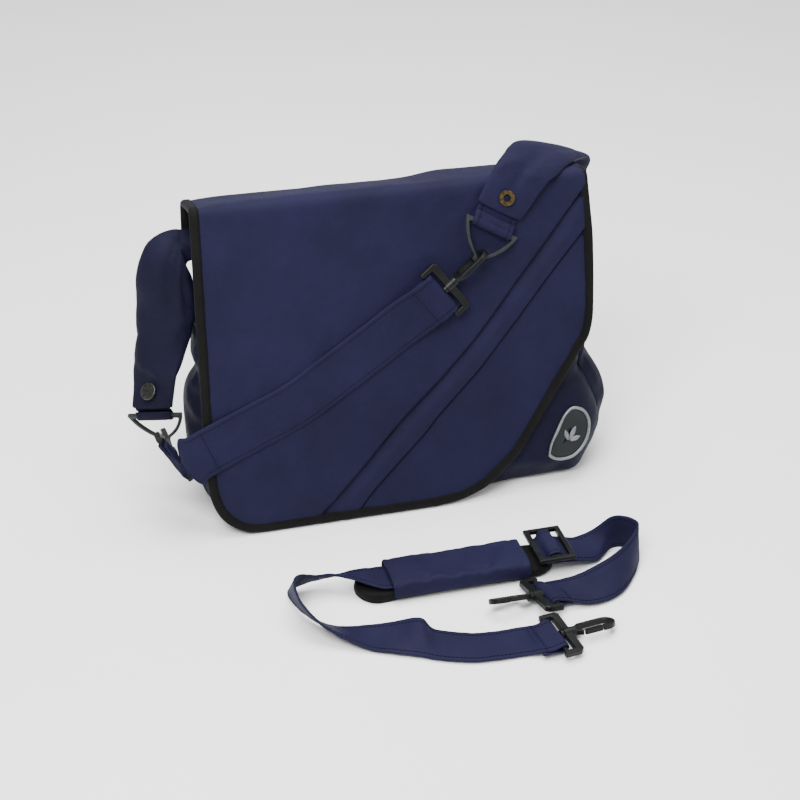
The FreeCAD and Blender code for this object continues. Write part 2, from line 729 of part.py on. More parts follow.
# Edges of each soft band from its root towards the ring tab.
RIGHT_BAND = [
    ((158, 65.5, 290), (209, 65.5, 290)), ((146, 58, 306), (204, 59, 303)),
    ((118, 34, 327), (168, 24, 316)), ((98, 14, 324), (149, 0, 309)),
]
LEFT_BAND = [
    ((-206, 68, 262), (-206, 47, 252)), ((-226, 66, 262), (-222, 38, 252)),
    ((-244, 60, 242), (-222, 24, 230)), ((-250, 50, 196), (-222, 8, 190)),
    ((-256, 38, 150), (-226, -4, 146)), ((-256, 24, 122), (-222, -12, 128)),
]
RIGHT_BAND_THICK, LEFT_BAND_THICK = 4, 5
RIGHT_ROOT = [((160, 63.6, 263), (206, 63.6, 263)), ((158, 64, 284), (209, 64, 284))]
RIGHT_ROOT_THICK = 3
LEFT_ANCHOR_SIZE, LEFT_ANCHOR_AT = (17, 11, 26), (-203.6, 46, 240)
RIGHT_ANCHOR_SIZE, RIGHT_ANCHOR_AT = (36, 0.4, 22), (150, 222)


def band_stations(name):
    stations = list(RIGHT_BAND if name == "right" else LEFT_BAND)
    end = loop_station(LINKS[name]["ring"], TAB_REACH[name] + 1.2, TAB_WIDTH[name])
    start = V(*stations[-1][0])
    if (end[0] - start).Length > (end[1] - start).Length:
        end = end[::-1]
    return stations + [end]


def make_bands():
    """Soft bands sewn to the body's corners, and the patches that they are sewn to."""
    add_shape("right_band", ribbon(band_stations("right"), RIGHT_BAND_THICK))
    add_shape("left_band", ribbon(band_stations("left"), LEFT_BAND_THICK))
    add_shape("right_band_root", ribbon(RIGHT_ROOT, RIGHT_ROOT_THICK))
    add_shape("left_band_anchor", Part.makeBox(*LEFT_ANCHOR_SIZE, V(*LEFT_ANCHOR_AT)))
    patch_at = V(RIGHT_ANCHOR_AT[0], size("back_y") + 0.05, RIGHT_ANCHOR_AT[1])
    add_shape("right_band_anchor", Part.makeBox(*RIGHT_ANCHOR_SIZE, patch_at))


def on_band(name, share, thick, towards, lift):
    """A placement just off a band's outer face, at a share of the way back from its last section."""
    (a, b), (c, d) = band_stations(name)[-2:]
    a, b = V(*a), V(*b)
    run, across = (c + d) - (a + b), (b - a).normalize()
    out = run.cross(across).normalize()
    if out.dot(V(*towards)) < 0:
        out = -out
    middle = (c + d) * 0.5 * (1 - share) + (a + b) * 0.5 * share
    return axes_at(middle + out * (thick / 2 + lift), run, out)


def snap_cap(label, place):
    """Domed cap of the left snap."""
    body = new_body(label, place)
    disc = new_sketch(body, label + "_disc")
    circle(disc, mm("snap_radius"))
    pad(body, disc, mm("snap_height"))
    round_edges(body, 1.2, lambda edge: edge.Vertexes[0].Point.z > 1)
    return body


def snap_eyelet(label, place):
    """Open brass socket of the right snap."""
    body = new_body(label, place)
    disc = new_sketch(body, label + "_disc")
    circle(disc, mm("eyelet_radius"))
    circle(disc, mm("eyelet_bore"))
    pad(body, disc, mm("snap_height"))
    return body


def make_snaps():
    snap_cap("left_snap", on_band("left", 0.75, LEFT_BAND_THICK, (-1, -1, 0), 3.4))
    snap_eyelet("right_snap", on_band("right", 0.22, RIGHT_BAND_THICK, (0, -1, 1), 2.7))


# ---------------------------------------------------------------- shoulder strap, laid on the ground

PAD_MIDDLE = (4, -191.5)
PAD_RUN_START, PAD_RUN_LENGTH, PAD_RUN_Z = -69, 182, 11.7   # the webbing between pad and sleeve
LOOSE_CLIPS = {
    # start of the clip, direction of its hook, its upper side, and the hook's turn on its swivel
    "near": ((63, -303, 7.5), (0.99, 0.12, 0.0), (0, 0, 1), 20),
    "far": ((76.6, -244, 7.2), (-0.975, -0.13, 0.13), (0.14, 0.16, 0.97), 152),
}
# (near or upper edge, far or lower edge) of the webbing from the near clip round to the pad
LONG_RUN = [
    ((35, -317, 2.5), (36, -280, 3)), ((8, -316, 2.5), (10, -279, 4)),
    ((-17, -313, 2.5), (-12, -277, 6)), ((-42, -304, 2.5), (-38, -267, 8)),
    ((-59, -295, 2.5), (-52, -263, 20)), ((-79, -286, 2.5), (-70, -252, 12)),
    ((-100, -276, 4), (-94, -244, 5)), ((-122, -263, 12), (-115, -238, 2.5)),
    ((-141, -249, 24), (-131, -230, 2.5)), ((-152, -228, 34), (-143, -213, 2.5)),
    ((-151, -206, 36), (-150, -194, 2.5)), ((-143, -192, 32), (-150, -178, 4)),
    ((-126, -188, 25), (-130, -174, 8)), ((-108, -188, 24), (-108, -176, 12)),
    ((-86, -200, 18), (-86, -178, 17)), ((-70, -208, 12.7), (-70, -175, 12.7)),
]
SHORT_RUN = [
    ((114, -210.5, 12.8), (114, -172.5, 12.8)), ((128, -209, 9), (130, -172, 10)),
    ((144, -203, 3), (148, -174, 18)), ((163, -188, 2), (160, -184, 37)), ((177, -192, 2), (173, -187, 38)),
    ((181, -210, 2), (183, -196, 35)), ((165, -236, 2), (171, -210, 30)), ((149, -253, 2), (152, -223, 26)),
    ((132, -262, 2), (131, -231, 22)), ((112, -265, 4), (108, -229, 11)), ((98, -265, 6), (93, -227, 6)),
]


def loose_place(name):
    start, aim, up, _ = LOOSE_CLIPS[name]
    return axes_at(start, aim, up)


def make_shoulder_strap():
    thick, width = size("strap_thick"), size("strap_width")
    reach = 7
    near, far = loose_place("near"), loose_place("far")
    near_end = loop_station(near, reach, width)[::-1]
    long_run = ribbon([near_end] + LONG_RUN, thick).fuse(folded_loop(near, width - 1, reach + 2))
    add_shape("strap_long_run", long_run)
    far_end = loop_station(far, reach, width)
    short_run = ribbon(SHORT_RUN + [far_end], thick).fuse(folded_loop(far, width - 1, reach + 2))
    add_shape("strap_short_run", short_run)
    inner = doc.addObject("Part::Box", "strap_pad_run")
    inner.Length = PAD_RUN_LENGTH
    inner.setExpression("Width", mm("strap_width"))
    inner.setExpression("Height", "sizes.strap_thick * 1 mm - 0.4 mm")
    keep(inner, "strap_pad_run", FreeCAD.Placement(
        V(PAD_RUN_START, PAD_MIDDLE[1] - size("strap_width") / 2, PAD_RUN_Z), FreeCAD.Rotation()))


def stadium(length, width):
    """Round-ended outline."""
    half, r = length / 2 - width / 2, width / 2
    return [((-half, -r), (half, -r)), ((half, -r), (half + r, 0), (half, r)), ((half, r), (-half, r)),
            ((-half, r), (-half - r, 0), (-half, -r))]


def make_pad():
    x, y = PAD_MIDDLE
    length, width = size("pad_length"), size("pad_width")
    low = 0.3
    floor = new_body("pad_base", FreeCAD.Placement(V(x, y, low), FreeCAD.Rotation()))
    plan = new_sketch(floor, "pad_base_plan")
    outline(plan, stadium(length, width))
    pad(floor, plan, mm("pad_base"))
    core_z = low + size("pad_base") + 0.1
    core = new_body("pad_core", FreeCAD.Placement(V(x, y, core_z), FreeCAD.Rotation()))
    plan = new_sketch(core, "pad_core_plan")
    outline(plan, stadium(length - 4.4, width - 4.4))
    pad(core, plan, mm("pad_core"))
    rim = new_body("pad_binding", FreeCAD.Placement(V(x, y, core_z), FreeCAD.Rotation()))
    plan = new_sketch(rim, "pad_binding_plan")
    outline(plan, stadium(length, width))
    outline(plan, stadium(length - 4, width - 4))
    pad(rim, plan, mm("pad_core"))
    cover = new_body("pad_sleeve", FreeCAD.Placement(V(x + 2, y, core_z + size("pad_core") + 0.1),
                                                     FreeCAD.Rotation()))
    profile = new_sketch(cover, "pad_sleeve_section", "YZ_Plane", -size("pad_cover") / 2)
    half, high = width / 2, 5.0
    polygon(profile, [(-half, 0), (-half, high), (half, high), (half, 0), (half - 1.6, 0),
                      (half - 1.6, high - 1.8), (1.6 - half, high - 1.8), (1.6 - half, 0)])
    pad(cover, profile, mm("pad_cover"))


SLIDER_AT = (98, -189, 19.5)


def make_slider():
    place = FreeCAD.Placement(V(*SLIDER_AT), FreeCAD.Rotation())
    body = new_body("strap_slider", place)
    plan = new_sketch(body, "slider_plan")
    rectangle(plan, mm("slider_depth"), mm("slider_length"))
    pad(body, plan, mm("slider_thick"), midplane=True)
    doc.recompute()
    slots = new_sketch(body, "slider_slots")
    offset = size("slider_bar") / 2 + 4.5
    for x in (-offset, offset):
        rectangle(slots, "9 mm", "sizes.slider_length * 1 mm - 9 mm", (x, 0))
    pocket_through(body, slots)
    round_edges(body, 1.0, lambda edge: abs(edge.Vertexes[0].Point.x) > 17 or
                abs(edge.Vertexes[0].Point.y) > 24)
    wrap = new_body("slider_loop", place)
    profile = new_sketch(wrap, "loop_section", "XZ_Plane", -size("strap_width") / 2)
    bar, thick = size("slider_bar") / 2 + 0.4, 1.8
    top = size("slider_thick") / 2 + 0.4
    low, high = -top - 0.6, top + thick
    polygon(profile, [(-bar - thick, low), (-bar, low), (-bar, top), (bar, top), (bar, low),
                      (bar + thick, low), (bar + thick, high), (-bar - thick, high)])
    pad(wrap, profile, mm("strap_width"))


def make_loose_clips():
    """The two clips at the shoulder strap's ends, each with its hook turned on its swivel."""
    for name, (start, aim, up, turn) in LOOSE_CLIPS.items():
        clip_base(name + "_clip_base", loose_place(name))
        tilt = math.radians(turn)
        side = V(*up).cross(V(*aim)).normalize()
        face = V(*up) * math.cos(tilt) + side * math.sin(tilt)
        clip_hook(name + "_hook", axes_at(start, aim, face))
        clip_gate(name + "_gate", axes_at(start, aim, face))


# ---------------------------------------------------------------- build, check and write

make_body_panels()
make_mouth_binding()
side_pocket("left_side_pocket", LEFT)
side_pocket("right_side_pocket", RIGHT)
make_slip_pocket()
make_badge()
make_flap()
make_flap_top()
make_fasteners()
make_links()
make_front_strap()
make_bands()
make_snaps()
make_shoulder_strap()
make_pad()
make_slider()
make_loose_clips()
doc.recompute()

for obj in doc.Objects:
    if "Invalid" in obj.State or "Error" in obj.State:
        raise RuntimeError(f"{obj.Label} failed: {obj.State}")
for node in NODES:
    if node.Shape.isNull() or not node.Shape.isValid():
        raise RuntimeError(f"{node.Label} has no valid shape")

os.makedirs("parts", exist_ok=True)
for node in NODES:
    node.Shape.exportStep(f"parts/{node.Label}.step")
    print(node.Label, round(node.Shape.Volume), len(node.Shape.Solids), "solid(s)")
print(len(NODES), "nodes")
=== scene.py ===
import math

import bpy
import numpy as np
from mathutils import Matrix, Vector, noise


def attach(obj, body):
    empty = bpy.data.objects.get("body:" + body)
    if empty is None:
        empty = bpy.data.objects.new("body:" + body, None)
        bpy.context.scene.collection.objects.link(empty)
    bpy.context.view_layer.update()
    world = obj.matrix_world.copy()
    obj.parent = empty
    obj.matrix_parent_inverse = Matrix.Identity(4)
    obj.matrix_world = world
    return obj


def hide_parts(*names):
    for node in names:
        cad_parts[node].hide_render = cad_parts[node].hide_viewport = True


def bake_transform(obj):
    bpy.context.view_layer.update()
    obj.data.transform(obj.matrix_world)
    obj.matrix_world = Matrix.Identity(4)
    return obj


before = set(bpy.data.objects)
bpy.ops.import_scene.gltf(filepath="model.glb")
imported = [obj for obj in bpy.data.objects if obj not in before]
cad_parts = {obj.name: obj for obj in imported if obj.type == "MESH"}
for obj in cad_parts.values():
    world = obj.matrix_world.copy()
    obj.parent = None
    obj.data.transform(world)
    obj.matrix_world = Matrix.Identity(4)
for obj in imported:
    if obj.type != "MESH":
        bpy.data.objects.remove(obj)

# Lengths below are millimetres in the CAD's own frame; meshes are scaled to metres when they are made.
METRE = 0.001
SHELL_CLOTH, FLAP_CLOTH, HEAVY_CLOTH, LINING_CLOTH = 2.2, 1.1, 1.4, 0.8
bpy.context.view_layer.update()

FLAP_FOOT = np.array([0.0, -80.0, 2.0])
RIDGE = np.array([8.0, 306.0])
BACK_TOP = np.array([61.5, 291.0])
HINGE = np.array([61.5, 256.0])
SEAM_BELOW_HINGE = 14.0
FLAP_LENGTH = math.hypot(RIDGE[0] - FLAP_FOOT[1], RIDGE[1] - FLAP_FOOT[2])
UP_FLAP = np.array([0.0, RIDGE[0] - FLAP_FOOT[1], RIDGE[1] - FLAP_FOOT[2]]) / FLAP_LENGTH
OUT_OF_FLAP = np.array([0.0, -UP_FLAP[2], UP_FLAP[1]])
ACROSS = np.array([1.0, 0.0, 0.0])


# ---------------------------------------------------------------- small maths

def unit(v):
    v = np.asarray(v, float)
    return v / np.linalg.norm(v)


def smoothstep(a, b, t):
    t = np.clip((np.asarray(t, float) - a) / (b - a), 0, 1)
    return t * t * (3 - 2 * t)


def run_lengths(points):
    """Distance from the first point to each one, along the row."""
    return np.concatenate([[0], np.cumsum(np.linalg.norm(np.diff(points, axis=0), axis=1))])


def catmull(points, step):
    """Points of a smooth curve through the given ones, about step apart."""
    p = np.asarray(points, float)
    p = np.vstack([2 * p[0] - p[1], p, 2 * p[-1] - p[-2]])
    out = []
    for a, b, c, d in zip(p, p[1:], p[2:], p[3:]):
        n = max(2, int(math.ceil(np.linalg.norm(c - b) / step)))
        for k in range(n):
            t = k / n
            out.append(0.5 * ((2 * b) + (c - a) * t + (2 * a - 5 * b + 4 * c - d) * t * t
                              + (3 * b - a - 3 * c + d) * t ** 3))
    out.append(p[-2])
    return np.array(out)


def ripple(point, size, seed=0.0):
    """Smooth noise from -1 to 1 with features of about the given size."""
    x, y, z = point
    return noise.noise(Vector((x / size + seed, y / size - seed, z / size + 0.5 * seed)))


def on_flap(x, along, out=0.0):
    return FLAP_FOOT + ACROSS * x + UP_FLAP * along + OUT_OF_FLAP * out


def flap_direction(x, along, out=0.0):
    return ACROSS * x + UP_FLAP * along + OUT_OF_FLAP * out


# ---------------------------------------------------------------- meshes

def make_mesh(name, verts, faces, uvs=None):
    """A smooth-shaded mesh object from millimetre vertices; uvs are millimetres along the cloth."""
    mesh = bpy.data.meshes.new(name)
    mesh.from_pydata([tuple(v) for v in np.asarray(verts, float) * METRE], [], faces)
    if uvs is not None:
        layer = mesh.uv_layers.new(name="cloth")
        for loop in mesh.loops:
            layer.data[loop.index].uv = uvs[loop.vertex_index]
    mesh.polygons.foreach_set("use_smooth", [True] * len(mesh.polygons))
    mesh.update()
    obj = bpy.data.objects.new(name, mesh)
    bpy.context.scene.collection.objects.link(obj)
    return obj


def grid_faces(rows, columns, wrap=False, start=0):
    faces = []
    last = columns if wrap else columns - 1
    for r in range(rows - 1):
        for c in range(last):
            d = (c + 1) % columns
            faces.append((start + r * columns + c, start + r * columns + d,
                          start + (r + 1) * columns + d, start + (r + 1) * columns + c))
    return faces


def grid_object(name, points, uvs=None):
    """An open sheet from a rows x columns x 3 array."""
    rows, columns = points.shape[:2]
    flat_uvs = uvs.reshape(-1, 2) if uvs is not None else None
    return make_mesh(name, points.reshape(-1, 3), grid_faces(rows, columns), flat_uvs)


def tube_object(name, rings, closed=False):
    """A skin round a row of rings (rows x columns x 3), with flat caps unless it joins itself."""
    rows, columns = rings.shape[:2]
    verts = rings.reshape(-1, 3)
    if closed:
        verts = np.vstack([verts, rings[0]])
        faces = grid_faces(rows + 1, columns, wrap=True)
    else:
        faces = grid_faces(rows, columns, wrap=True)
        faces.append(tuple(reversed(range(columns))))
        faces.append(tuple(range((rows - 1) * columns, rows * columns)))
    lengths = np.zeros(rows + (1 if closed else 0))
    lengths[:rows] = run_lengths(rings.mean(axis=1))
    girth = np.linalg.norm(np.diff(rings[0], axis=0, append=rings[0][:1]), axis=1)
    around = np.concatenate([[0], np.cumsum(girth)[:-1]])
    uvs = [(a, b) for b in lengths for a in around]
    return make_mesh(name, verts, faces, uvs)


def modify(obj, kind, **settings):
    """Adds one modifier and applies it."""
    modifier = obj.modifiers.new(kind.lower(), kind)
    for key, value in settings.items():
        setattr(modifier, key, value)
    graph = bpy.context.evaluated_depsgraph_get()
    mesh = bpy.data.meshes.new_from_object(obj.evaluated_get(graph))
    obj.modifiers.clear()
    old = obj.data
    obj.data = mesh
    mesh.name = obj.name
    bpy.data.meshes.remove(old)
    return obj


def thicken(obj, thickness, offset=-1):
    """Cloth thickness (mm) on a sheet, then one smoothing level."""
    modify(obj, "SOLIDIFY", thickness=thickness * METRE, offset=offset)
    return modify(obj, "SUBSURF", levels=1)


def points_of(obj):
    return np.array([v.co for v in obj.data.vertices]) / METRE


def move_points(obj, points):
    obj.data.vertices.foreach_set("co", (points.reshape(-1, 3) * METRE).ravel())


def grid_rim(rows, columns):
    """Vertex numbers round the edge of a grid_object."""
    ends = list(range(columns)) + list(range((rows - 1) * columns, rows * columns))
    return ends + [r * columns for r in range(rows)] + [r * columns + columns - 1 for r in range(rows)]


def inflate(obj, pressure, frames, cap, pinned=None, shrink=0.0):
    """Lets the cloth swell for some frames; no point ends further than cap (mm) from where it began."""
    start = np.array([v.co for v in obj.data.vertices])
    cloth = obj.modifiers.new("cloth", "CLOTH")
    settings = cloth.settings
    settings.quality = 5
    settings.mass = 0.25
    settings.tension_stiffness = 12
    settings.compression_stiffness = 8
    settings.shear_stiffness = 4
    settings.bending_stiffness = 0.4
    settings.use_pressure = True
    settings.uniform_pressure_force = pressure
    settings.shrink_min = shrink
    settings.effector_weights.gravity = 0
    if pinned is not None:
        group = obj.vertex_groups.new(name="held")
        group.add([int(i) for i in pinned], 1.0, "REPLACE")
        settings.vertex_group_mass = "held"
    cloth.collision_settings.use_collision = False
    scene = bpy.context.scene
    for f in range(1, frames + 1):
        scene.frame_set(f)
    graph = bpy.context.evaluated_depsgraph_get()
    result = obj.evaluated_get(graph).to_mesh()
    end = np.array([v.co for v in result.vertices])
    obj.evaluated_get(graph).to_mesh_clear()
    obj.modifiers.clear()
    obj.vertex_groups.clear()
    scene.frame_set(1)
    move = end - start
    length = np.linalg.norm(move, axis=1, keepdims=True)
    limit = cap * METRE
    move = np.where(length > 1e-9, move / np.maximum(length, 1e-9) * limit * np.tanh(length / limit), 0)
    obj.data.vertices.foreach_set("co", (start + move).ravel())
    obj.data.update()
    return obj


# ---------------------------------------------------------------- materials

def new_material(name, colour, roughness, metallic=0.0):
    """A Principled material; returns it with its node tree's parts for further wiring."""
    material = bpy.data.materials.new(name)
    material.use_nodes = True
    shader = material.node_tree.nodes["Principled BSDF"]
    shader.inputs["Base Color"].default_value = (*colour, 1)
    shader.inputs["Roughness"].default_value = roughness
    shader.inputs["Metallic"].default_value = metallic
    return material, material.node_tree, shader


def node(tree, kind, links=(), **settings):
    made = tree.nodes.new(kind)
    for key, value in settings.items():
        if key in made.inputs:
            made.inputs[key].default_value = value
        else:
            setattr(made, key, value)
    for source, socket in links:
        tree.links.new(source, made.inputs[socket])
    return made


def mottle(tree, coords, colours, scale):
    """Colour that wanders between two shades."""
    field = node(tree, "ShaderNodeTexNoise", [(coords, "Vector")], Scale=scale, Detail=4.0, Roughness=0.6)
    ramp = node(tree, "ShaderNodeValToRGB", [(field.outputs["Fac"], "Fac")])
    ramp.color_ramp.elements[0].position = 0.3
    ramp.color_ramp.elements[1].position = 0.72
    ramp.color_ramp.elements[0].color = (*colours[0], 1)
    ramp.color_ramp.elements[1].color = (*colours[1], 1)
    return ramp.outputs["Color"]


def ranged(tree, source, low, high):
    """Maps a 0 to 1 field to low to high."""
    spread = node(tree, "ShaderNodeMapRange", [(source, "Value")])
    spread.inputs["To Min"].default_value = low
    spread.inputs["To Max"].default_value = high
    return spread.outputs["Result"]


def noise_roughness(tree, shader, coords, scale, low, high):
    field = node(tree, "ShaderNodeTexNoise", [(coords, "Vector")], Scale=scale, Detail=3.0)
    tree.links.new(ranged(tree, field.outputs["Fac"], low, high), shader.inputs["Roughness"])


def fine_bump(tree, shader, field, strength):
    bump = node(tree, "ShaderNodeBump", [(field.outputs["Fac"], "Height")], Strength=strength, Distance=0.0001)
    tree.links.new(bump.outputs["Normal"], shader.inputs["Normal"])


def cloth_material(name, dark, light, thread, weave_depth, roughness=0.66, sheen=0.03):
    """Plain-weave cloth: crossed threads, slubs, faint creasing, and a soft sheen."""
    material, tree, shader = new_material(name, light, roughness)
    shader.inputs["Sheen Weight"].default_value = sheen
    shader.inputs["Sheen Roughness"].default_value = 0.4
    shader.inputs["Sheen Tint"].default_value = (0.45, 0.45, 0.75, 1)
    shader.inputs["Specular IOR Level"].default_value = 0.10
    coords = node(tree, "ShaderNodeTexCoord").outputs["Object"]
    uv = node(tree, "ShaderNodeUVMap", uv_map="cloth").outputs["UV"]
    base = mottle(tree, coords, (dark, light), 14.0)
    turns = 1.0 / thread
    warp = node(tree, "ShaderNodeTexWave", [(uv, "Vector")], Scale=turns, Distortion=0.6,
                wave_type="BANDS", bands_direction="X")
    weft = node(tree, "ShaderNodeTexWave", [(uv, "Vector")], Scale=turns, Distortion=0.6,
                wave_type="BANDS", bands_direction="Y")
    weave = node(tree, "ShaderNodeMath", [(warp.outputs["Fac"], 0), (weft.outputs["Fac"], 1)],
                 operation="MULTIPLY")
    tone = node(tree, "ShaderNodeMix", data_type="RGBA", blend_type="MULTIPLY")
    tone.inputs["Factor"].default_value = 0.35
    tree.links.new(base, tone.inputs["A"])
    tree.links.new(ranged(tree, weave.outputs["Value"], 0.7, 1.15), tone.inputs["B"])
    tree.links.new(tone.outputs["Result"], shader.inputs["Base Color"])
    creases = node(tree, "ShaderNodeTexNoise", [(coords, "Vector")], Scale=38.0, Detail=7.0, Roughness=0.64)
    crease_bump = node(tree, "ShaderNodeBump", [(creases.outputs["Fac"], "Height")],
                       Strength=0.5, Distance=0.0032)
    weave_bump = node(tree, "ShaderNodeBump", [(weave.outputs["Value"], "Height"),
                                               (crease_bump.outputs["Normal"], "Normal")],
                      Strength=0.5, Distance=weave_depth * METRE)
    tree.links.new(weave_bump.outputs["Normal"], shader.inputs["Normal"])
    noise_roughness(tree, shader, coords, 30.0, roughness - 0.1, roughness + 0.12)
    return material


def plastic_material(name, dark, light, roughness):
    """Moulded plastic: faint flow mottling, fine grain and rubbed, shinier patches."""
    material, tree, shader = new_material(name, light, roughness)
    shader.inputs["Specular IOR Level"].default_value = 0.17
    coords = node(tree, "ShaderNodeTexCoord").outputs["Object"]
    tree.links.new(mottle(tree, coords, (dark, light), 60.0), shader.inputs["Base Color"])
    grain = node(tree, "ShaderNodeTexNoise", [(coords, "Vector")], Scale=900.0, Detail=2.0)
    fine_bump(tree, shader, grain, 0.25)
    noise_roughness(tree, shader, coords, 120.0, roughness - 0.12, roughness + 0.15)
    return material


def metal_material(name, dark, light, roughness):
    """Plated metal with fine scratches and tarnish."""
    material, tree, shader = new_material(name, light, roughness, metallic=1.0)
    coords = node(tree, "ShaderNodeTexCoord").outputs["Object"]
    tree.links.new(mottle(tree, coords, (dark, light), 400.0), shader.inputs["Base Color"])
    scratches = node(tree, "ShaderNodeTexNoise", [(coords, "Vector")], Scale=1500.0, Detail=3.0,
                     Distortion=1.5)
    fine_bump(tree, shader, scratches, 0.2)
    return material


NAVY = cloth_material("navy_nylon", (0.0056, 0.0052, 0.0200), (0.0088, 0.0083, 0.0312), 0.9, 0.10)
# Painted shade: the same navy nylon made darker and given less sheen, for the pieces that sit in shade (bag
# shell, left band, left tab, left band root, side pockets, right band anchor).
NAVY_PAINTED_SHADE = cloth_material("navy_nylon_shaded", (0.0030, 0.0028, 0.0112), (0.0050, 0.0047, 0.0178), 0.9, 0.10,
                           sheen=0.016)
TAPE = cloth_material("black_tape", (0.0022, 0.0022, 0.0020), (0.0046, 0.0045, 0.0042), 1.4, 0.18, 0.75, 0.03)
LINING = cloth_material("lining_cloth", (0.0045, 0.0045, 0.0055), (0.009, 0.009, 0.011), 0.7, 0.06, 0.5, 0.04)
ELASTIC = cloth_material("elastic_tape", (0.003, 0.003, 0.004), (0.007, 0.007, 0.008), 1.2, 0.25, 0.8, 0.04)
THREAD = cloth_material("thread", (0.0012, 0.0012, 0.004), (0.003, 0.003, 0.009), 0.4, 0.05, 0.7, 0.02)
NAP = cloth_material("hook_and_loop", (0.004, 0.004, 0.005), (0.014, 0.014, 0.016), 0.6, 0.5, 0.95, 0.5)
PLASTIC = plastic_material("black_plastic", (0.0030, 0.0033, 0.0036), (0.0062, 0.0066, 0.0070), 0.36)
GREY_PLASTIC = plastic_material("grey_plastic", (0.013, 0.015, 0.016), (0.022, 0.025, 0.027), 0.42)
BOARD = plastic_material("board", (0.03, 0.03, 0.032), (0.05, 0.05, 0.052), 0.7)
BRASS = metal_material("brass", (0.045, 0.033, 0.013), (0.17, 0.125, 0.050), 0.30)
GUNMETAL = metal_material("gunmetal", (0.02, 0.02, 0.02), (0.07, 0.07, 0.068), 0.38)
SILVER = metal_material("badge_metal", (0.15, 0.155, 0.165), (0.25, 0.255, 0.27), 0.5)
ENAMEL = plastic_material("badge_field", (0.0085, 0.0105, 0.0115), (0.0135, 0.0165, 0.0180), 0.55)


def paint(obj, material):
    obj.data.materials.clear()
    obj.data.materials.append(material)
    return obj


def finish_piece(obj, material, body, replaced=(), blend=None):
    """Material, the body that it rides on (for a piece given a blend, none: its transform is baked in place
    instead), and the CAD parts that it stands for, which are hidden.
    """
    paint(obj, material)
    if blend is None:
        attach(obj, body)
    else:
        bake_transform(obj)
    if replaced:
        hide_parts(*replaced)
    return obj


# ---------------------------------------------------------------- bag body

BASE_HALF, MOUTH_HALF = 192.0, 180.0
FRONT_FOOT, FRONT_MOUTH, BACK = -72.7, 8.9, 58.0
BASE_Z, MOUTH_Z = 0.0, 284.0
BODY_SIDES = 112


def wall_at(z):
    """Share of the height, and the front wall's y there."""
    share = (z - BASE_Z) / (MOUTH_Z - BASE_Z)
    return share, FRONT_FOOT + (FRONT_MOUTH - FRONT_FOOT) * share


def body_ring(z, inset, corner=0.0):
    """Rounded-rectangle outline of the bag at a height."""
    share, front = wall_at(z)
    half = BASE_HALF + (MOUTH_HALF - BASE_HALF) * share - inset
    front += inset
    back = BACK - inset
    r = 15.0 - 6.0 * share + corner
    corners = [(-half + r, front + r, 180), (half - r, front + r, 270),
               (half - r, back - r, 0), (-half + r, back - r, 90)]
    outline = []
    for cx, cy, begin in corners:
        for k in range(7):
            angle = math.radians(begin + 15 * k)
            outline.append((cx + r * math.cos(angle), cy + r * math.sin(angle)))
    outline = np.array(outline + outline[:1])
    steps = run_lengths(outline)
    wanted = np.linspace(0, steps[-1], BODY_SIDES, endpoint=False)
    x = np.interp(wanted, steps, outline[:, 0])
    y = np.interp(wanted, steps, outline[:, 1])
    return np.column_stack([x, y, np.full(BODY_SIDES, z)])


def body_folds(p):
    """Slack cloth: soft vertical folds low on the gussets and round the badge, in mm outward."""
    low = smoothstep(235, 60, p[2])
    at_side = smoothstep(150, 192, abs(p[0]))
    folds = 3.4 * ripple((p[0] * 0.6, p[1], 0.28 * p[2]), 17, 3.1) * at_side
    slack = 2.6 * ripple(p, 52, 7.7) + 1.2 * ripple(p, 21, 1.9)
    pinch = -5.5 * math.exp(-((p[2] - 108 - 0.5 * (p[0] - 180)) / 9) ** 2) * smoothstep(150, 180, p[0])
    bulge = 17.0 * smoothstep(150, 195, p[0]) * math.exp(-((p[2] - 66) / 44) ** 2)
    belly = 9.0 * smoothstep(-150, -195, p[0]) * math.exp(-((p[2] - 120) / 80) ** 2)
    return low * (folds + slack + pinch) + bulge + belly


def tuck_base(p):
    """Moves a point near the ground in from the base's front right corner, which is worn round."""
    curl = smoothstep(42, 0, p[2]) * smoothstep(60, 130, p[0])
    p[1] += 9.0 * curl * smoothstep(-30, -70, p[1])
    p[0] -= 7.0 * curl * smoothstep(150, 188, p[0])


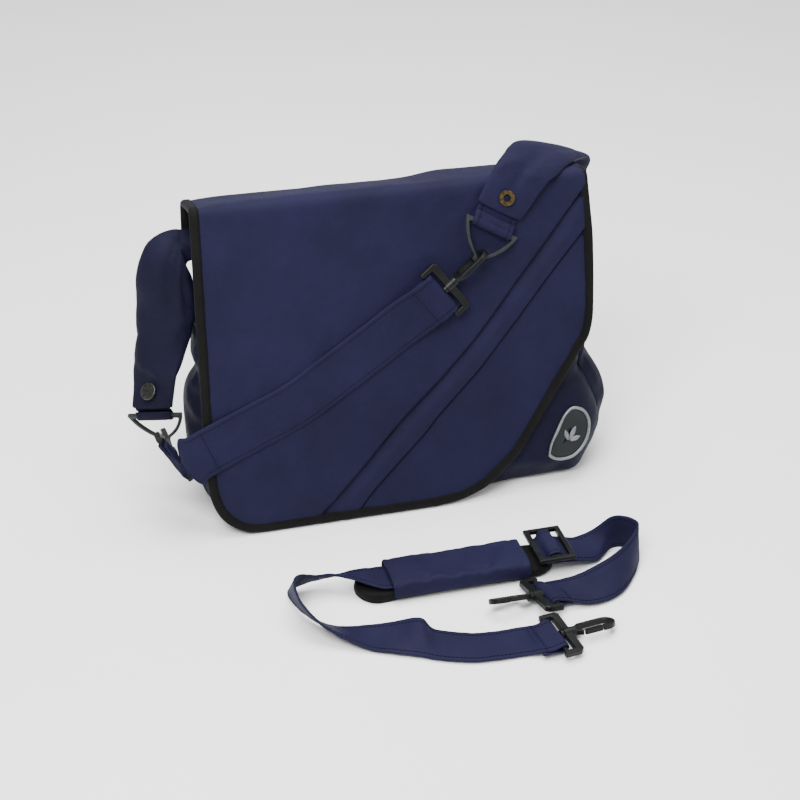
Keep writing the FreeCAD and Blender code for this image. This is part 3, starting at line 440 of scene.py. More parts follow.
def make_bag_body():
    """The bag's outer shell, swollen by a cloth simulation, with its lining inside."""
    heights = np.linspace(BASE_Z + 9, MOUTH_Z, 52)
    rings = [body_ring(BASE_Z + 0.3, 40.0), body_ring(BASE_Z + 0.4, 14.0, corner=6),
             body_ring(BASE_Z + 1.4, 6.5, corner=9), body_ring(BASE_Z + 4.2, 2.6, corner=9)]
    rings += [body_ring(z, 1.5, corner=8 * smoothstep(80, 10, z)) for z in heights]
    rings = np.array(rings)
    total, count = rings.shape[:2]
    uvs = [(c * 9.6, r * 6.2) for r in range(total) for c in range(count)]
    faces = grid_faces(total, count, wrap=True)
    faces.append(tuple(reversed(range(count))))
    shell = make_mesh("bag_shell", rings.reshape(-1, 3), faces, uvs)
    held = list(range(2 * count)) + list(range((total - 1) * count, total * count))
    inflate(shell, 3.5, 18, 6.0, held, shrink=-0.03)
    points = points_of(shell)
    for i, p in enumerate(points):
        tuck_base(p)
        if i < 2 * count:
            continue
        side = unit([p[0] * 0.5, p[1] + 10, 0]) if abs(p[0]) < 165 else unit([p[0], (p[1] + 10) * 0.6, 0])
        p = p + side * body_folds(p)
        out = (p[1] - FLAP_FOOT[1]) * OUT_OF_FLAP[1] + (p[2] - FLAP_FOOT[2]) * OUT_OF_FLAP[2]
        if out > -6.4 and p[1] < 40:
            p = p - OUT_OF_FLAP * (out + 6.4)
        p[2] = max(p[2], BASE_Z + 0.2)
        points[i] = p
    move_points(shell, points)
    thicken(shell, SHELL_CLOTH)
    # Painted shade: the shell gets the darkened copy of the navy cloth.
    finish_piece(shell, NAVY_PAINTED_SHADE, "bag_body",
                 ("front_panel", "back_panel", "left_gusset", "right_gusset", "base_panel"))

    lining = np.array([body_ring(z, 6.2) for z in np.linspace(BASE_Z + 7, MOUTH_Z - 2, 30)])
    for ring in lining:
        for p in ring:
            p[:2] += unit(p[:2] - [0, 10]) * 1.3 * ripple(p, 30, 1.3)
            tuck_base(p)
    floor = lining[0].mean(axis=0)
    bottom = np.array([floor + (p - floor) * 0.5 for p in lining[0]])
    rings = np.vstack([[bottom], lining])
    cloth = make_mesh("lining_bag", rings.reshape(-1, 3), grid_faces(len(rings), BODY_SIDES, wrap=True),
                      [(c * 9.0, r * 9.0) for r in range(len(rings)) for c in range(BODY_SIDES)])
    modify(cloth, "SOLIDIFY", thickness=LINING_CLOTH * METRE, offset=-1)
    finish_piece(cloth, LINING, "bag_body", ("lining",))

    levels = ((4.6, 14.0), (4.6, 10.5), (5.2, 10.0), (6.0, 10.0), (6.6, 10.5), (6.6, 14.0))
    board = np.array([body_ring(BASE_Z + z, inset, corner=12) for z, inset in levels])
    for p in board.reshape(-1, 3):
        tuck_base(p)
    finish_piece(tube_object("stiffener_board", board), BOARD, "bag_body", ("base_board",))
    return shell


# ---------------------------------------------------------------- flap surface

LEFT_EDGE = [(-155, 0), (-168, 2), (-181, 9), (-191, 19), (-198, 34), (-201, 52), (-202, 90),
             (-201, 130), (-199, 206), (-197, 285), (-196, 330), (-196, 372), (-196, 420)]
RIGHT_EDGE = [(20, 0), (46, 3), (72, 12), (92, 27), (110, 44), (127, 68), (145, 94), (162, 119),
              (176, 140), (185, 153), (190, 172), (191.5, 200), (192, 228), (192, 255), (190, 285),
              (188, 318), (188, 372), (188, 420)]
UPPER_SEAM = [(-101, 0), (-90, 12), (-45, 56), (0, 101), (35, 132), (70, 166), (100, 201), (130, 236),
              (154, 264), (177, 291), (188, 305)]
LOWER_SEAM = [(-63, 0), (-54, 10), (-45, 20), (-36, 30), (-8, 56), (18, 80), (24, 88), (46, 109), (72, 133.5),
              (94, 158), (117, 184), (149, 221), (182, 257), (191, 267)]
FLAP_TOP = 316.48
BACK_EDGE = 372.0
HINGE_AT = 407.0
FLAP_END = HINGE_AT + SEAM_BELOW_HINGE
LOWER_SEAM_END = 262


def edge_table(points):
    curve = catmull(points, 3.0)
    return curve[:, 1], curve[:, 0]


EDGES = {name: edge_table(points) for name, points in
         (("left", LEFT_EDGE), ("right", RIGHT_EDGE), ("upper", UPPER_SEAM), ("lower", LOWER_SEAM))}


def edge_at(name, along):
    heights, across = EDGES[name]
    return float(np.interp(along, heights, across))


def flap_profile(x, along):
    """(y, z) of the flap's outer face; past the ridge it runs back and then down to the hinge line."""
    rise = 5.0 * smoothstep(-185, -60, x) * smoothstep(10, 60, x)
    back_top = BACK_TOP + np.array([0, rise])
    if along <= FLAP_TOP:
        return FLAP_FOOT[1:] + UP_FLAP[1:] * along
    if along <= BACK_EDGE:
        t = (along - FLAP_TOP) / (BACK_EDGE - FLAP_TOP)
        return RIDGE + (back_top - RIDGE) * t
    if along <= HINGE_AT:
        t = (along - BACK_EDGE) / (HINGE_AT - BACK_EDGE)
        return back_top + (HINGE - back_top) * t
    return HINGE - np.array([0, along - HINGE_AT])


def on_sheet(x, along, out=0.0):
    """A point on the flap's cloth, anywhere from its foot round to the seam on the back."""
    soft = 9.0
    offsets, weights = (-soft, -soft / 2, 0, soft / 2, soft), (1, 2, 3, 2, 1)

    def middle(q):
        return sum(w * flap_profile(x, q + o) for o, w in zip(offsets, weights)) / sum(weights)

    here = middle(along)
    run = unit(middle(along + 1.5) - middle(along - 1.5))
    normal = np.array([-run[1], run[0]])
    y, z = here + normal * out
    return np.array([x, y, z])


def flap_relief(x, along):
    """Padding, pulls and creases of the flap's face, in mm out of it."""
    p = (x, along, 0.0)
    swell = 1.4 * ripple(p, 85, 2.2) + 0.7 * ripple((x + 0.8 * along, 0.35 * (along - x), 0), 34, 5.1)
    crease = abs(ripple((x * 0.7 + along * 0.7, (along - x) * 0.22, 0), 27, 9.4))
    pull = 0.5 * math.exp(-((along - 300) / 22) ** 2) * ripple(p, 24, 1.7)
    return swell + 0.9 * crease + pull


def cloth_panel(name, low, high, left, right, profile, pitch=4.5):
    """One sewn panel of the flap, its sides following two seams; profile(d_left, d_right) is mm out."""
    heights = np.linspace(low, high, int((high - low) / pitch) + 1)
    near = np.array([0, 0.7, 1.5, 2.6, 4.2, 6.5])
    points, uvs = [], []
    columns = max(8, int(max(right(q) - left(q) for q in heights) / 5.5))
    for q in heights:
        a, b = left(q), max(right(q), left(q) + 0.5)
        edge = np.minimum(near, (b - a) * 0.12 * near / near[-1] * 4) if b - a < 14 else near
        inner = np.linspace(a + edge[-1], b - edge[-1], columns)[1:-1]
        xs = np.concatenate([a + edge, inner, (b - edge)[::-1]])
        row, row_uv = [], []
        for x in xs:
            lift = profile(x - a, b - x, x, q)
            row.append(on_sheet(x, q, lift))
            row_uv.append((x, q))
        points.append(row)
        uvs.append(row_uv)
    return grid_object(name, np.array(points), np.array(uvs))


FLAP_BLEND = ("bag_body", "flap", (0, 0.0645, 0.2538), (0, 0.0528, 0.2595))


def make_flap():
    """Three outer panels, a lining and a tape round the edge, as one flap that bends at the back seam."""
    tuck = 3.0

    def left_side(q):
        return edge_at("left", q) + tuck

    def right_side(q):
        return edge_at("right", q) - tuck

    def main_profile(d_left, d_right, x, q):
        puff = 1.3 * (1 - math.exp(-d_left / 9))
        fold = 1.7 * (1 - math.exp(-d_right / 1.6)) if q < 300 else 1.7
        foot = 1 - math.exp(-max(q, 0.1) / 9)
        return (puff + fold + flap_relief(x, q)) * foot * (0.35 + 0.65 * (1 - math.exp(-d_left / 14))) - 0.6

    def main_right(q):
        cloth_edge = right_side(q)
        return min(edge_at("upper", q) - 0.9, cloth_edge) if q < 303 else cloth_edge

    main = cloth_panel("flap_main_cloth", tuck, FLAP_END, left_side, main_right, main_profile)

    def welt_profile(d_left, d_right, x, q):
        wide = d_left + d_right
        rise = -1.8 + 4.4 * smoothstep(0.0, 0.6 * wide, d_left)
        turn = -2.8 * math.exp(-d_right / 1.0)
        gather = sum(1.6 * math.exp(-((q - at) / 3.2) ** 2) * math.exp(-d_right / 7) for at in (20, 80))
        return (rise + turn - gather + 0.5 * flap_relief(x, q)) * smoothstep(2, 16, q) - 0.6

    def inside(name):
        return lambda q: min(edge_at(name, q), right_side(q))

    welt = cloth_panel("flap_welt_cloth", tuck, 300, lambda q: inside("upper")(q) + 0.5,
                       lambda q: inside("lower")(q) - 0.3, welt_profile, 4.0)

    def corner_profile(d_left, d_right, x, q):
        crimp = 0.7 * math.sin((x + q) / 3.4) * math.exp(-d_right / 7) * smoothstep(-40, 60, x)
        tension = 1.1 * ripple((x * 0.75 - q * 0.5, (x + q) * 0.2, 0), 16, 6.6) * math.exp(-d_left / 30)
        return -1.5 + flap_relief(x, q) + tension + crimp + 1.6 * (1 - math.exp(-d_left / 12))

    corner = cloth_panel("flap_corner_cloth", tuck, LOWER_SEAM_END, lambda q: inside("lower")(q) + 0.5,
                         right_side, corner_profile)

    # Painted shade: the two slit sheets are black strips set under the edges of the upper and lower seams.
    # They stand for the shadow in the gaps.
    def shade_profile(d_left, d_right, x, q):
        return -2.4

    for name, seam, top in (("flap_upper_slit_shadow", "upper", 302), ("flap_lower_slit_shadow", "lower", LOWER_SEAM_END)):
        shade = cloth_panel(name, tuck, top, lambda q: inside(seam)(q) - 3.5, lambda q: inside(seam)(q) + 3.0,
                            shade_profile, 7.0)
        finish_piece(shade, TAPE, "flap")
    steps = np.arange(tuck, FLAP_END, 1.0)
    main_cut, lining_cut = (sum(max(right(q) - left_side(q), 0) for q in steps) * METRE * METRE
                            for right in (main_right, right_side))
    for piece, nodes in ((main, ("flap_main_field", "flap_top_panel", "flap_back_strip")),
                         (welt, ("flap_welt",)), (corner, ("flap_corner_field",))):
        thicken(piece, FLAP_CLOTH)
        finish_piece(piece, NAVY, "flap", nodes, FLAP_BLEND if piece is main else None)

    def lining_profile(d_left, d_right, x, q):
        return -4.2 + 0.35 * flap_relief(x, q)

    lining = cloth_panel("flap_lining_cloth", tuck, FLAP_END, left_side, right_side, lining_profile, 7.0)
    modify(lining, "SOLIDIFY", thickness=LINING_CLOTH * METRE, offset=1)
    finish_piece(lining, LINING, "flap", ("flap_lining",), FLAP_BLEND)
    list(make_binding())


def flap_border():
    """(across, along) points round the flap's free edge, from the left of the back seam to the right."""
    left = catmull(LEFT_EDGE, 4.0)[::-1]
    right = catmull(RIGHT_EDGE, 4.0)
    foot = np.column_stack([np.linspace(-150, 15, 34), np.zeros(34)])
    return np.vstack([left, foot, right])


def make_binding():
    """Black tape folded over the flap's raw edge, with its two rows of stitches."""
    border = flap_border()
    lengths = run_lengths(border)
    wanted = np.arange(0, lengths[-1], 3.0)
    border = np.column_stack([np.interp(wanted, lengths, border[:, k]) for k in (0, 1)])
    section = [(-9.0, 0.4), (-8.6, 1.2), (-6.5, 1.9), (-4.0, 2.2), (-1.6, 1.8), (0.0, 0.6), (0.5, -1.4),
               (0.1, -3.4), (-1.8, -4.8), (-5.0, -5.3), (-8.6, -5.1), (-9.0, -4.2)]
    rings, stitch_line = [], []
    for i, (x, q) in enumerate(border):
        run = unit(border[min(i + 2, len(border) - 1)] - border[max(i - 2, 0)])
        outward = np.array([run[1], -run[0]])
        if np.dot(outward, np.array([x, q]) - np.array([0, 190])) < 0 and q < 330:
            outward = -outward
        if q >= 330:
            outward = np.array([math.copysign(1, x), 0])
        pucker = 0.35 * ripple((x, q, 0), 6.0, 4.0) + 0.5 * ripple((x, q, 0), 40, 2.0)
        ring = []
        for a, n in section:
            lift = n + pucker * (1 if n > 0 else 0)
            ring.append(on_sheet(x + outward[0] * a, q + outward[1] * a, lift))
        rings.append(ring)
        stitch_line.append(on_sheet(x - outward[0] * 7.4, q - outward[1] * 7.4, 2.0 + pucker))
    tape = tube_object("flap_edge_tape", np.array(rings))
    finish_piece(tape, TAPE, "flap", ("flap_binding",), FLAP_BLEND)
    seam = sew("flap_edge_stitches", [np.array(stitch_line)], 3.4, 0.34, "flap", FLAP_BLEND)
    return tape, seam


# ---------------------------------------------------------------- stitches

def stitches(name, lines, pitch, radius):
    """Rows of short threads along each line, each a small six-sided bar dipping into the cloth."""
    verts, faces = [], []
    for line in lines:
        lengths = run_lengths(line)
        count = int(lengths[-1] / pitch)
        for k in range(count):
            ends = [lengths[-1] * (k + share) / count for share in (0.12, 0.5, 0.88)]
            a, m, b = [np.array([np.interp(e, lengths, line[:, j]) for j in range(3)]) for e in ends]
            run = unit(b - a)
            side = unit(np.cross(run, [0.31, -0.83, 0.46]))
            up = np.cross(run, side)
            start = len(verts)
            for centre, r in ((a, radius * 0.45), (m, radius), (b, radius * 0.45)):
                for j in range(6):
                    t = math.radians(60 * j)
                    verts.append(centre + side * r * math.cos(t) + up * r * math.sin(t))
            for ring in range(2):
                for j in range(6):
                    n = (j + 1) % 6
                    low, high = start + 6 * ring, start + 6 * (ring + 1)
                    faces.append((low + j, low + n, high + n, high + j))
            faces.append(tuple(start + j for j in reversed(range(6))))
            faces.append(tuple(start + 12 + j for j in range(6)))
    uvs = [(i % 6, i // 6) for i in range(len(verts))]
    return make_mesh(name, verts, faces, uvs)


def sew(name, lines, pitch, radius, body, blend=None):
    seam = stitches(name, lines, pitch, radius)
    return finish_piece(seam, THREAD, body, (), blend)


# ---------------------------------------------------------------- webbing

def frame_of(origin, x_dir, z_dir):
    """Origin and local axes: X along x_dir, Z as near z_dir as it can be."""
    x = unit(x_dir)
    z = np.asarray(z_dir, float)
    z = unit(z - x * np.dot(z, x))
    return np.asarray(origin, float), x, np.cross(z, x), z


def local(place, x, y, z):
    o, ax, ay, az = place
    return o + ax * x + ay * y + az * z


BAR_WRAP = 3.7


def flipped(stations):
    return [(b, a) for a, b in stations]


def wrap_stations(place, width, tail):
    """Webbing folded round a clip's bar: from the sewn-down tail, round the bar, to the main run."""
    path = [(-tail, -1.5), (-tail * 0.6, -1.6), (-5.5, -2.4)]
    for k in range(7):
        angle = math.radians(-105 + 35 * k)
        path.append((BAR_WRAP * math.cos(angle), BAR_WRAP * math.sin(angle)))
    path += [(-5.5, 2.4), (-tail * 0.6, 1.5)]
    return [(local(place, x, -width / 2, z), local(place, x, width / 2, z)) for x, z in path]


def webbing(name, stations, thick, wrinkle=0.35, rows_in=(4.5,), seed=0.0, across=15):
    """A flat fabric strap through stations (edge, edge): rounded sides, sunk stitch rows, fine puckers."""
    stations = [(np.asarray(a, float), np.asarray(b, float)) for a, b in stations]
    joined = np.array([np.concatenate([a, b]) for a, b in stations])
    smooth = catmull(joined, 3.5)
    a, b = smooth[:, :3], smooth[:, 3:]
    middle = (a + b) / 2
    run = np.gradient(middle, axis=0)
    lengths = run_lengths(middle)
    side = b - a
    normal = np.cross(run, side)
    normal /= np.linalg.norm(normal, axis=1, keepdims=True)
    width = np.linalg.norm(side, axis=1)
    shares = 0.5 - 0.5 * np.cos(np.linspace(0, math.pi, across))
    rings, rows = [], {(r, edge, face): [] for r in rows_in for edge in (0, 1) for face in (1, -1)}
    for i in range(len(smooth)):
        top, under = [], []
        for t in shares:
            d = min(t, 1 - t) * width[i]
            half = thick / 2 * math.sqrt(max(0.0, 1 - (1 - min(d / 1.6, 1)) ** 2))
            groove = sum(0.35 * math.exp(-((d - r) / 0.9) ** 2) for r in rows_in)
            p = a[i] + side[i] * t
            wave = wrinkle * (ripple(p, 17, seed) + 0.5 * ripple(p, 7, seed + 3))
            edge = wrinkle * 0.8 * ripple((lengths[i], 9 * (t > 0.5), 0), 5.5, seed) * math.exp(-d / 5)
            top.append(p + normal[i] * (half - groove + wave + edge))
            under.append(p + normal[i] * (-half + groove + wave + edge))
        rings.append(top + under[::-1][1:-1])
        for (r, edge, face), row in rows.items():
            t = r / width[i] if edge == 0 else 1 - r / width[i]
            p = a[i] + side[i] * t
            wave = wrinkle * (ripple(p, 17, seed) + 0.5 * ripple(p, 7, seed + 3))
            row.append(p + normal[i] * (face * (thick / 2 - 0.1) + wave))
    rings = np.array(rings)
    rings[..., 2] = np.maximum(rings[..., 2], 0.3)
    threads = np.array(list(rows.values()))
    if rows:
        threads[..., 2] = np.maximum(threads[..., 2], 0.7)
    return tube_object(name, rings), list(threads), lengths[-1]


def cross_row(place, x, width, z):
    """A line of stitches straight across webbing near a clip."""
    return np.array([local(place, x, t * width / 2, z) for t in np.linspace(-0.92, 0.92, 12)])


RIGHT_TOUCH, RIGHT_CLIP, RIGHT_BAR = (72, 247, 12), (31, 214, 12), (88, 275, 9)
RIGHT_BAR_DIRECTION = (0.86, -0.51)
LEFT_TOUCH, LEFT_CLIP, LEFT_BAR = (-231, 2, 71), (-229, -50, 77), (-240, -2, 101)
LEFT_FACE, LEFT_BAR_DIRECTION = (-0.85, -0.1, -0.5), (0.86, -0.48, 0.2)
RING_REACH, RING_WIRE, HOOK_CENTRE = 31.8, 2.2, 48.5


def link_places():
    ends = {
        "right": (on_flap(*RIGHT_BAR), on_flap(*RIGHT_TOUCH), on_flap(*RIGHT_CLIP),
                  OUT_OF_FLAP, flap_direction(*RIGHT_BAR_DIRECTION)),
        "left": tuple(np.array(v, float) for v in
                      (LEFT_BAR, LEFT_TOUCH, LEFT_CLIP, LEFT_FACE, LEFT_BAR_DIRECTION)),
    }
    places = {}
    for name, (bar, touch, clip, face, along_bar) in ends.items():
        pull = unit(touch - bar)
        apex = touch + pull * RING_WIRE
        aim = unit(apex - clip)
        places[name] = {
            "ring": frame_of(apex - pull * RING_REACH, pull, np.cross(pull, along_bar)),
            "clip": frame_of(apex - aim * HOOK_CENTRE, aim, face),
        }
    return places


LINKS = link_places()
FRONT_STRAP = [(-219, 80.5, 4.0), (-209, 84.5, 5.0), (-194, 91, 4.8), (-155, 106, 3.6), (-113, 123, 3.4),
               (-72, 147, 3.6), (-31, 172, 3.6), (0, 192, 5.5)]
FRONT_WIDTH = 46.0


def make_front_strap():
    middle = [on_flap(*p) for p in FRONT_STRAP]
    stations = flipped(wrap_stations(LINKS["left"]["clip"], FRONT_WIDTH - 4, 9))
    half = FRONT_WIDTH / 2
    for i, p in enumerate(middle):
        run = unit(middle[min(i + 1, len(middle) - 1)] - middle[max(i - 1, 0)])
        across = unit(np.cross(run, OUT_OF_FLAP)) * half
        stations.append((p - across, p + across))
    stations += flipped(wrap_stations(LINKS["right"]["clip"], FRONT_WIDTH - 2, 22))[::-1]
    strap, rows, length = webbing("front_strap_cloth", stations, 2.4, 0.45, (4.4,), 2.0)
    finish_piece(strap, NAVY, "carry_loop", ("front_strap",))
    rows += [cross_row(LINKS["right"]["clip"], -19, FRONT_WIDTH, 3.6),
             np.array([on_flap(-198 + 8 * t, 89 - 20 * t, 6.6) for t in np.linspace(-0.95, 0.95, 14)])]
    sew("front_strap_stitches", rows, 3.6, 0.42, "carry_loop")


# ---------------------------------------------------------------- carry-loop bands

RIGHT_BAND = [
    ((158, 65.5, 262), (207, 65.5, 262), 7), ((156, 68, 286), (213, 67, 276), 10),
    ((141, 57, 313), (210, 57, 294), 11), ((120, 36, 326), (180, 26, 307), 10),
    ((99, 14, 323), (151, 0, 306), 8), ((88, 4, 312), (136, -6, 294), 6),
]
LEFT_BAND = [
    ((-190, 60, 257), (-188, 32, 246), 15), ((-206, 62, 259), (-198, 26, 245), 19),
    ((-228, 54, 254), (-197, 18, 232), 21), ((-240, 48, 230), (-196, 12, 212), 20),
    ((-243, 46, 200), (-198, 8, 190), 17), ((-248, 40, 166), (-209, 2, 162), 13),
    ((-252, 34, 142), (-218, -8, 142), 10), ((-255, 22, 122), (-222, -12, 126), 7),
]
TAB_REACH = {"right": 20, "left": 13}
TAB_WIDTH = {"right": 42, "left": 36}
BAND_SIDES = 32


def soft_band(name, stations, creases, seed):
    """A padded fabric band: flattened tube whose skin is swollen by simulation and then creased."""
    rows = np.array([np.concatenate([a, b, [t]]) for a, b, t in stations], float)
    smooth = catmull(rows, 5.0)
    rings = []
    middle = (smooth[:, :3] + smooth[:, 3:6]) / 2
    run = np.gradient(middle, axis=0)
    lengths = run_lengths(middle)
    for i, row in enumerate(smooth):
        a, b, thick = row[:3], row[3:6], row[6]
        side = b - a
        normal = unit(np.cross(run[i], side))
        ring = []
        for k in range(BAND_SIDES):
            angle = 2 * math.pi * k / BAND_SIDES
            c, s = math.cos(angle), math.sin(angle)
            u = math.copysign(abs(c) ** 0.75, c)
            v = math.copysign(abs(s) ** 0.9, s)
            ring.append(middle[i] + side * 0.5 * u + normal * thick * 0.5 * v)
        rings.append(ring)
    rings = np.array(rings)
    band = tube_object(name, rings)
    count = len(rings)
    held = list(range(2 * BAND_SIDES)) + list(range((count - 11) * BAND_SIDES, count * BAND_SIDES))
    inflate(band, 4.0, 14, 3.0, held if count > 16 else None, shrink=-0.04)
    grid = points_of(band).reshape(count, BAND_SIDES, 3)
    centre = grid.mean(axis=1)
    for i in range(count):
        for k in range(BAND_SIDES):
            p = grid[i, k]
            angle = 2 * math.pi * k / BAND_SIDES
            u, face = math.cos(angle), math.sin(angle)
            depth = 0.9 * ripple(p, 14, seed) + 0.5 * ripple(p, 6, seed + 2)
            for start, end, u0, u1, deep, wide in creases:
                along = lengths[i] / lengths[-1]
                t = (along - start) / (end - start)
                if 0 <= t <= 1:
                    line = u0 + (u1 - u0) * t
                    depth -= deep * math.exp(-((u - line) / wide) ** 2) * math.sin(math.pi * t) * (face > 0)
            grid[i, k] = p + unit(p - centre[i]) * depth * (0.4 + 0.6 * abs(face))
    move_points(band, grid)
    modify(band, "SUBSURF", levels=1)
    return band


def end_edges(name):
    place = LINKS[name]["ring"]
    reach, half = TAB_REACH[name] - 4, TAB_WIDTH[name] / 2 + 3
    return local(place, -reach, half, 0), local(place, -reach, -half, 0)


def matched(stations, name, thick):
    a, b = end_edges(name)
    last = np.array(stations[-1][0], float)
    if np.linalg.norm(a - last) > np.linalg.norm(b - last):
        a, b = b, a
    return [(np.array(p, float), np.array(q, float), t) for p, q, t in stations] + [(a, b, thick)]


def make_bands():
    right = soft_band("right_band_cloth", matched(RIGHT_BAND, "right", 5),
                      [(0.55, 0.93, -0.35, -0.12, 3.6, 0.10), (0.45, 0.92, 0.05, 0.02, 4.2, 0.09),
                       (0.6, 0.95, 0.35, 0.2, 2.8, 0.09), (0.12, 0.5, 0.8, 0.3, 4.0, 0.12)], 4.4)
    start, end = (0, 0.066, 0.2795), (0, 0.058, 0.296)
    finish_piece(right, NAVY, "carry_loop", ("right_band", "right_band_root"),
                 ("flap", "carry_loop", start, end))
    left = soft_band("left_band_cloth", matched(LEFT_BAND, "left", 5),
                     [(0.02, 0.5, 0.1, 0.4, 7.0, 0.14), (0.3, 0.8, 0.3, 0.25, 3.0, 0.12),
                      (0.5, 0.95, -0.3, -0.1, 2.4, 0.12), (0.1, 0.45, 0.75, 0.8, 5.0, 0.12)], 8.1)
    # Painted shade: the left band gets the darkened navy, and the right band keeps the plain navy.
    finish_piece(left, NAVY_PAINTED_SHADE, "carry_loop", ("left_band",))
    root = soft_band("left_band_root_cloth", [((-186, 58, 262), (-186, 34, 254), 10),
                                              ((-198, 58, 262), (-197, 34, 252), 11),
                                              ((-206, 56, 258), (-205, 34, 248), 9)], [], 2.2)
    # Painted shade: the left band root gets the darkened navy.
    finish_piece(root, NAVY_PAINTED_SHADE, "bag_body", ("left_band_anchor",))
    for name in ("left", "right"):
        place = LINKS[name]["ring"]
        width = TAB_WIDTH[name]
        stations = wrap_stations(place, width, TAB_REACH[name] - 3)
        tab, rows, length = webbing(name + "_ring_tab_cloth", stations, 1.7, 0.25, (4.6,), 6.0)
        # Painted shade: the left tab gets the darkened navy, and the right tab keeps the plain navy.
        finish_piece(tab, NAVY if name == "right" else NAVY_PAINTED_SHADE, "carry_loop",
                     (name + "_ring_tab",))
        rows.append(cross_row(place, -4.5, width, 3.4))
        sew(name + "_tab_stitches", rows, 3.2, 0.38, "carry_loop")


# ---------------------------------------------------------------- shoulder strap

LOOSE_CLIPS = {
    "near": ((63, -303, 7.5), (0.99, 0.12, 0.0), (0, 0, 1)),
    "far": ((76.6, -244, 6.6), (-0.975, -0.13, 0.13), (0.14, 0.16, 0.97)),
}
LONG_RUN = [
    ((35, -317, 3), (36, -280, 4)), ((8, -316, 3), (10, -279, 4)),
    ((-17, -313, 3), (-12, -277, 6)), ((-42, -304, 3), (-38, -267, 8)), ((-59, -295, 3), (-50, -263, 20)),
    ((-79, -286, 3), (-70, -252, 11)), ((-100, -276, 4), (-94, -244, 5)), ((-122, -263, 12), (-115, -238, 3)),
    ((-141, -249, 24), (-131, -230, 3)), ((-152, -228, 34), (-143, -213, 3)),
    ((-151, -206, 36), (-150, -194, 3)), ((-143, -192, 32), (-150, -178, 4)),
    ((-126, -188, 25), (-130, -174, 8)), ((-108, -188, 22), (-108, -176, 12)),
    ((-86, -200, 18), (-86, -178, 17)), ((-68, -208, 13.5), (-68, -175, 13.5)),
    ((-48, -209, 13.2), (-48, -174, 13.2)),
]
SHORT_RUN = [
    ((84, -209, 13.2), (84, -174, 13.2)), ((114, -210.5, 12.8), (114, -172.5, 12.8)),
    ((128, -209, 9), (130, -172, 10)), ((144, -203, 3), (148, -174, 18)),
    ((163, -188, 2.6), (160, -184, 37)), ((177, -192, 2.6), (173, -187, 38)),
    ((181, -210, 2.6), (183, -196, 35)), ((165, -236, 2.6), (171, -210, 30)),
    ((149, -253, 2.6), (152, -223, 26)), ((132, -262, 2.6), (131, -231, 22)),
    ((112, -265, 4), (108, -229, 11)),
]
STRAP_WIDTH = 38.0


def make_shoulder_strap():
    places = {name: frame_of(*values) for name, values in LOOSE_CLIPS.items()}
    near = wrap_stations(places["near"], STRAP_WIDTH, 20)
    long_run, rows, length = webbing("strap_long_cloth", near + LONG_RUN, 2.3, 0.5, (4.2,), 1.0)
    finish_piece(long_run, NAVY, "shoulder_strap", ("strap_long_run", "strap_pad_run"))
    seams = rows + [cross_row(places["near"], -16, STRAP_WIDTH, 3.2)]
    far = wrap_stations(places["far"], STRAP_WIDTH, 18)[::-1]
    last = np.array(SHORT_RUN[-1][0])
    if np.linalg.norm(far[0][0] - last) > np.linalg.norm(far[0][1] - last):
        far = flipped(far)
    short_run, rows, length = webbing("strap_short_cloth", SHORT_RUN + far, 2.3, 0.45, (4.2,), 5.0)
    finish_piece(short_run, NAVY, "shoulder_strap", ("strap_short_run",))
    seams += rows + [cross_row(places["far"], -15, STRAP_WIDTH, 3.2)]
    sew("strap_stitches", seams, 3.6, 0.38, "shoulder_strap")


def stadium(length, width, count):
    """Round-ended outline as count points."""
    r, half = width / 2, length / 2 - width / 2
    total = 4 * half + 2 * math.pi * r
    points = []
    for k in range(count):
        d = total * k / count
        if d < 2 * half:
            points.append((-half + d, -r))
        elif d < 2 * half + math.pi * r:
            t = (d - 2 * half) / r - math.pi / 2
            points.append((half + r * math.cos(t), r * math.sin(t)))
        elif d < 4 * half + math.pi * r:
            points.append((half - (d - 2 * half - math.pi * r), r))
        else:
            t = (d - 4 * half - math.pi * r) / r + math.pi / 2
            points.append((-half + r * math.cos(t), r * math.sin(t)))
    return np.array(points)


PAD_AT, PAD_LENGTH, PAD_WIDTH = (4.0, -191.5), 192.0, 44.0
PAD_SIDES, PAD_STRAIGHT = 96, 74
SLEEVE_START, SLEEVE_LENGTH, SLEEVE_HEMS = PAD_AT[0] - 64, 132, (7.5, 124.5)


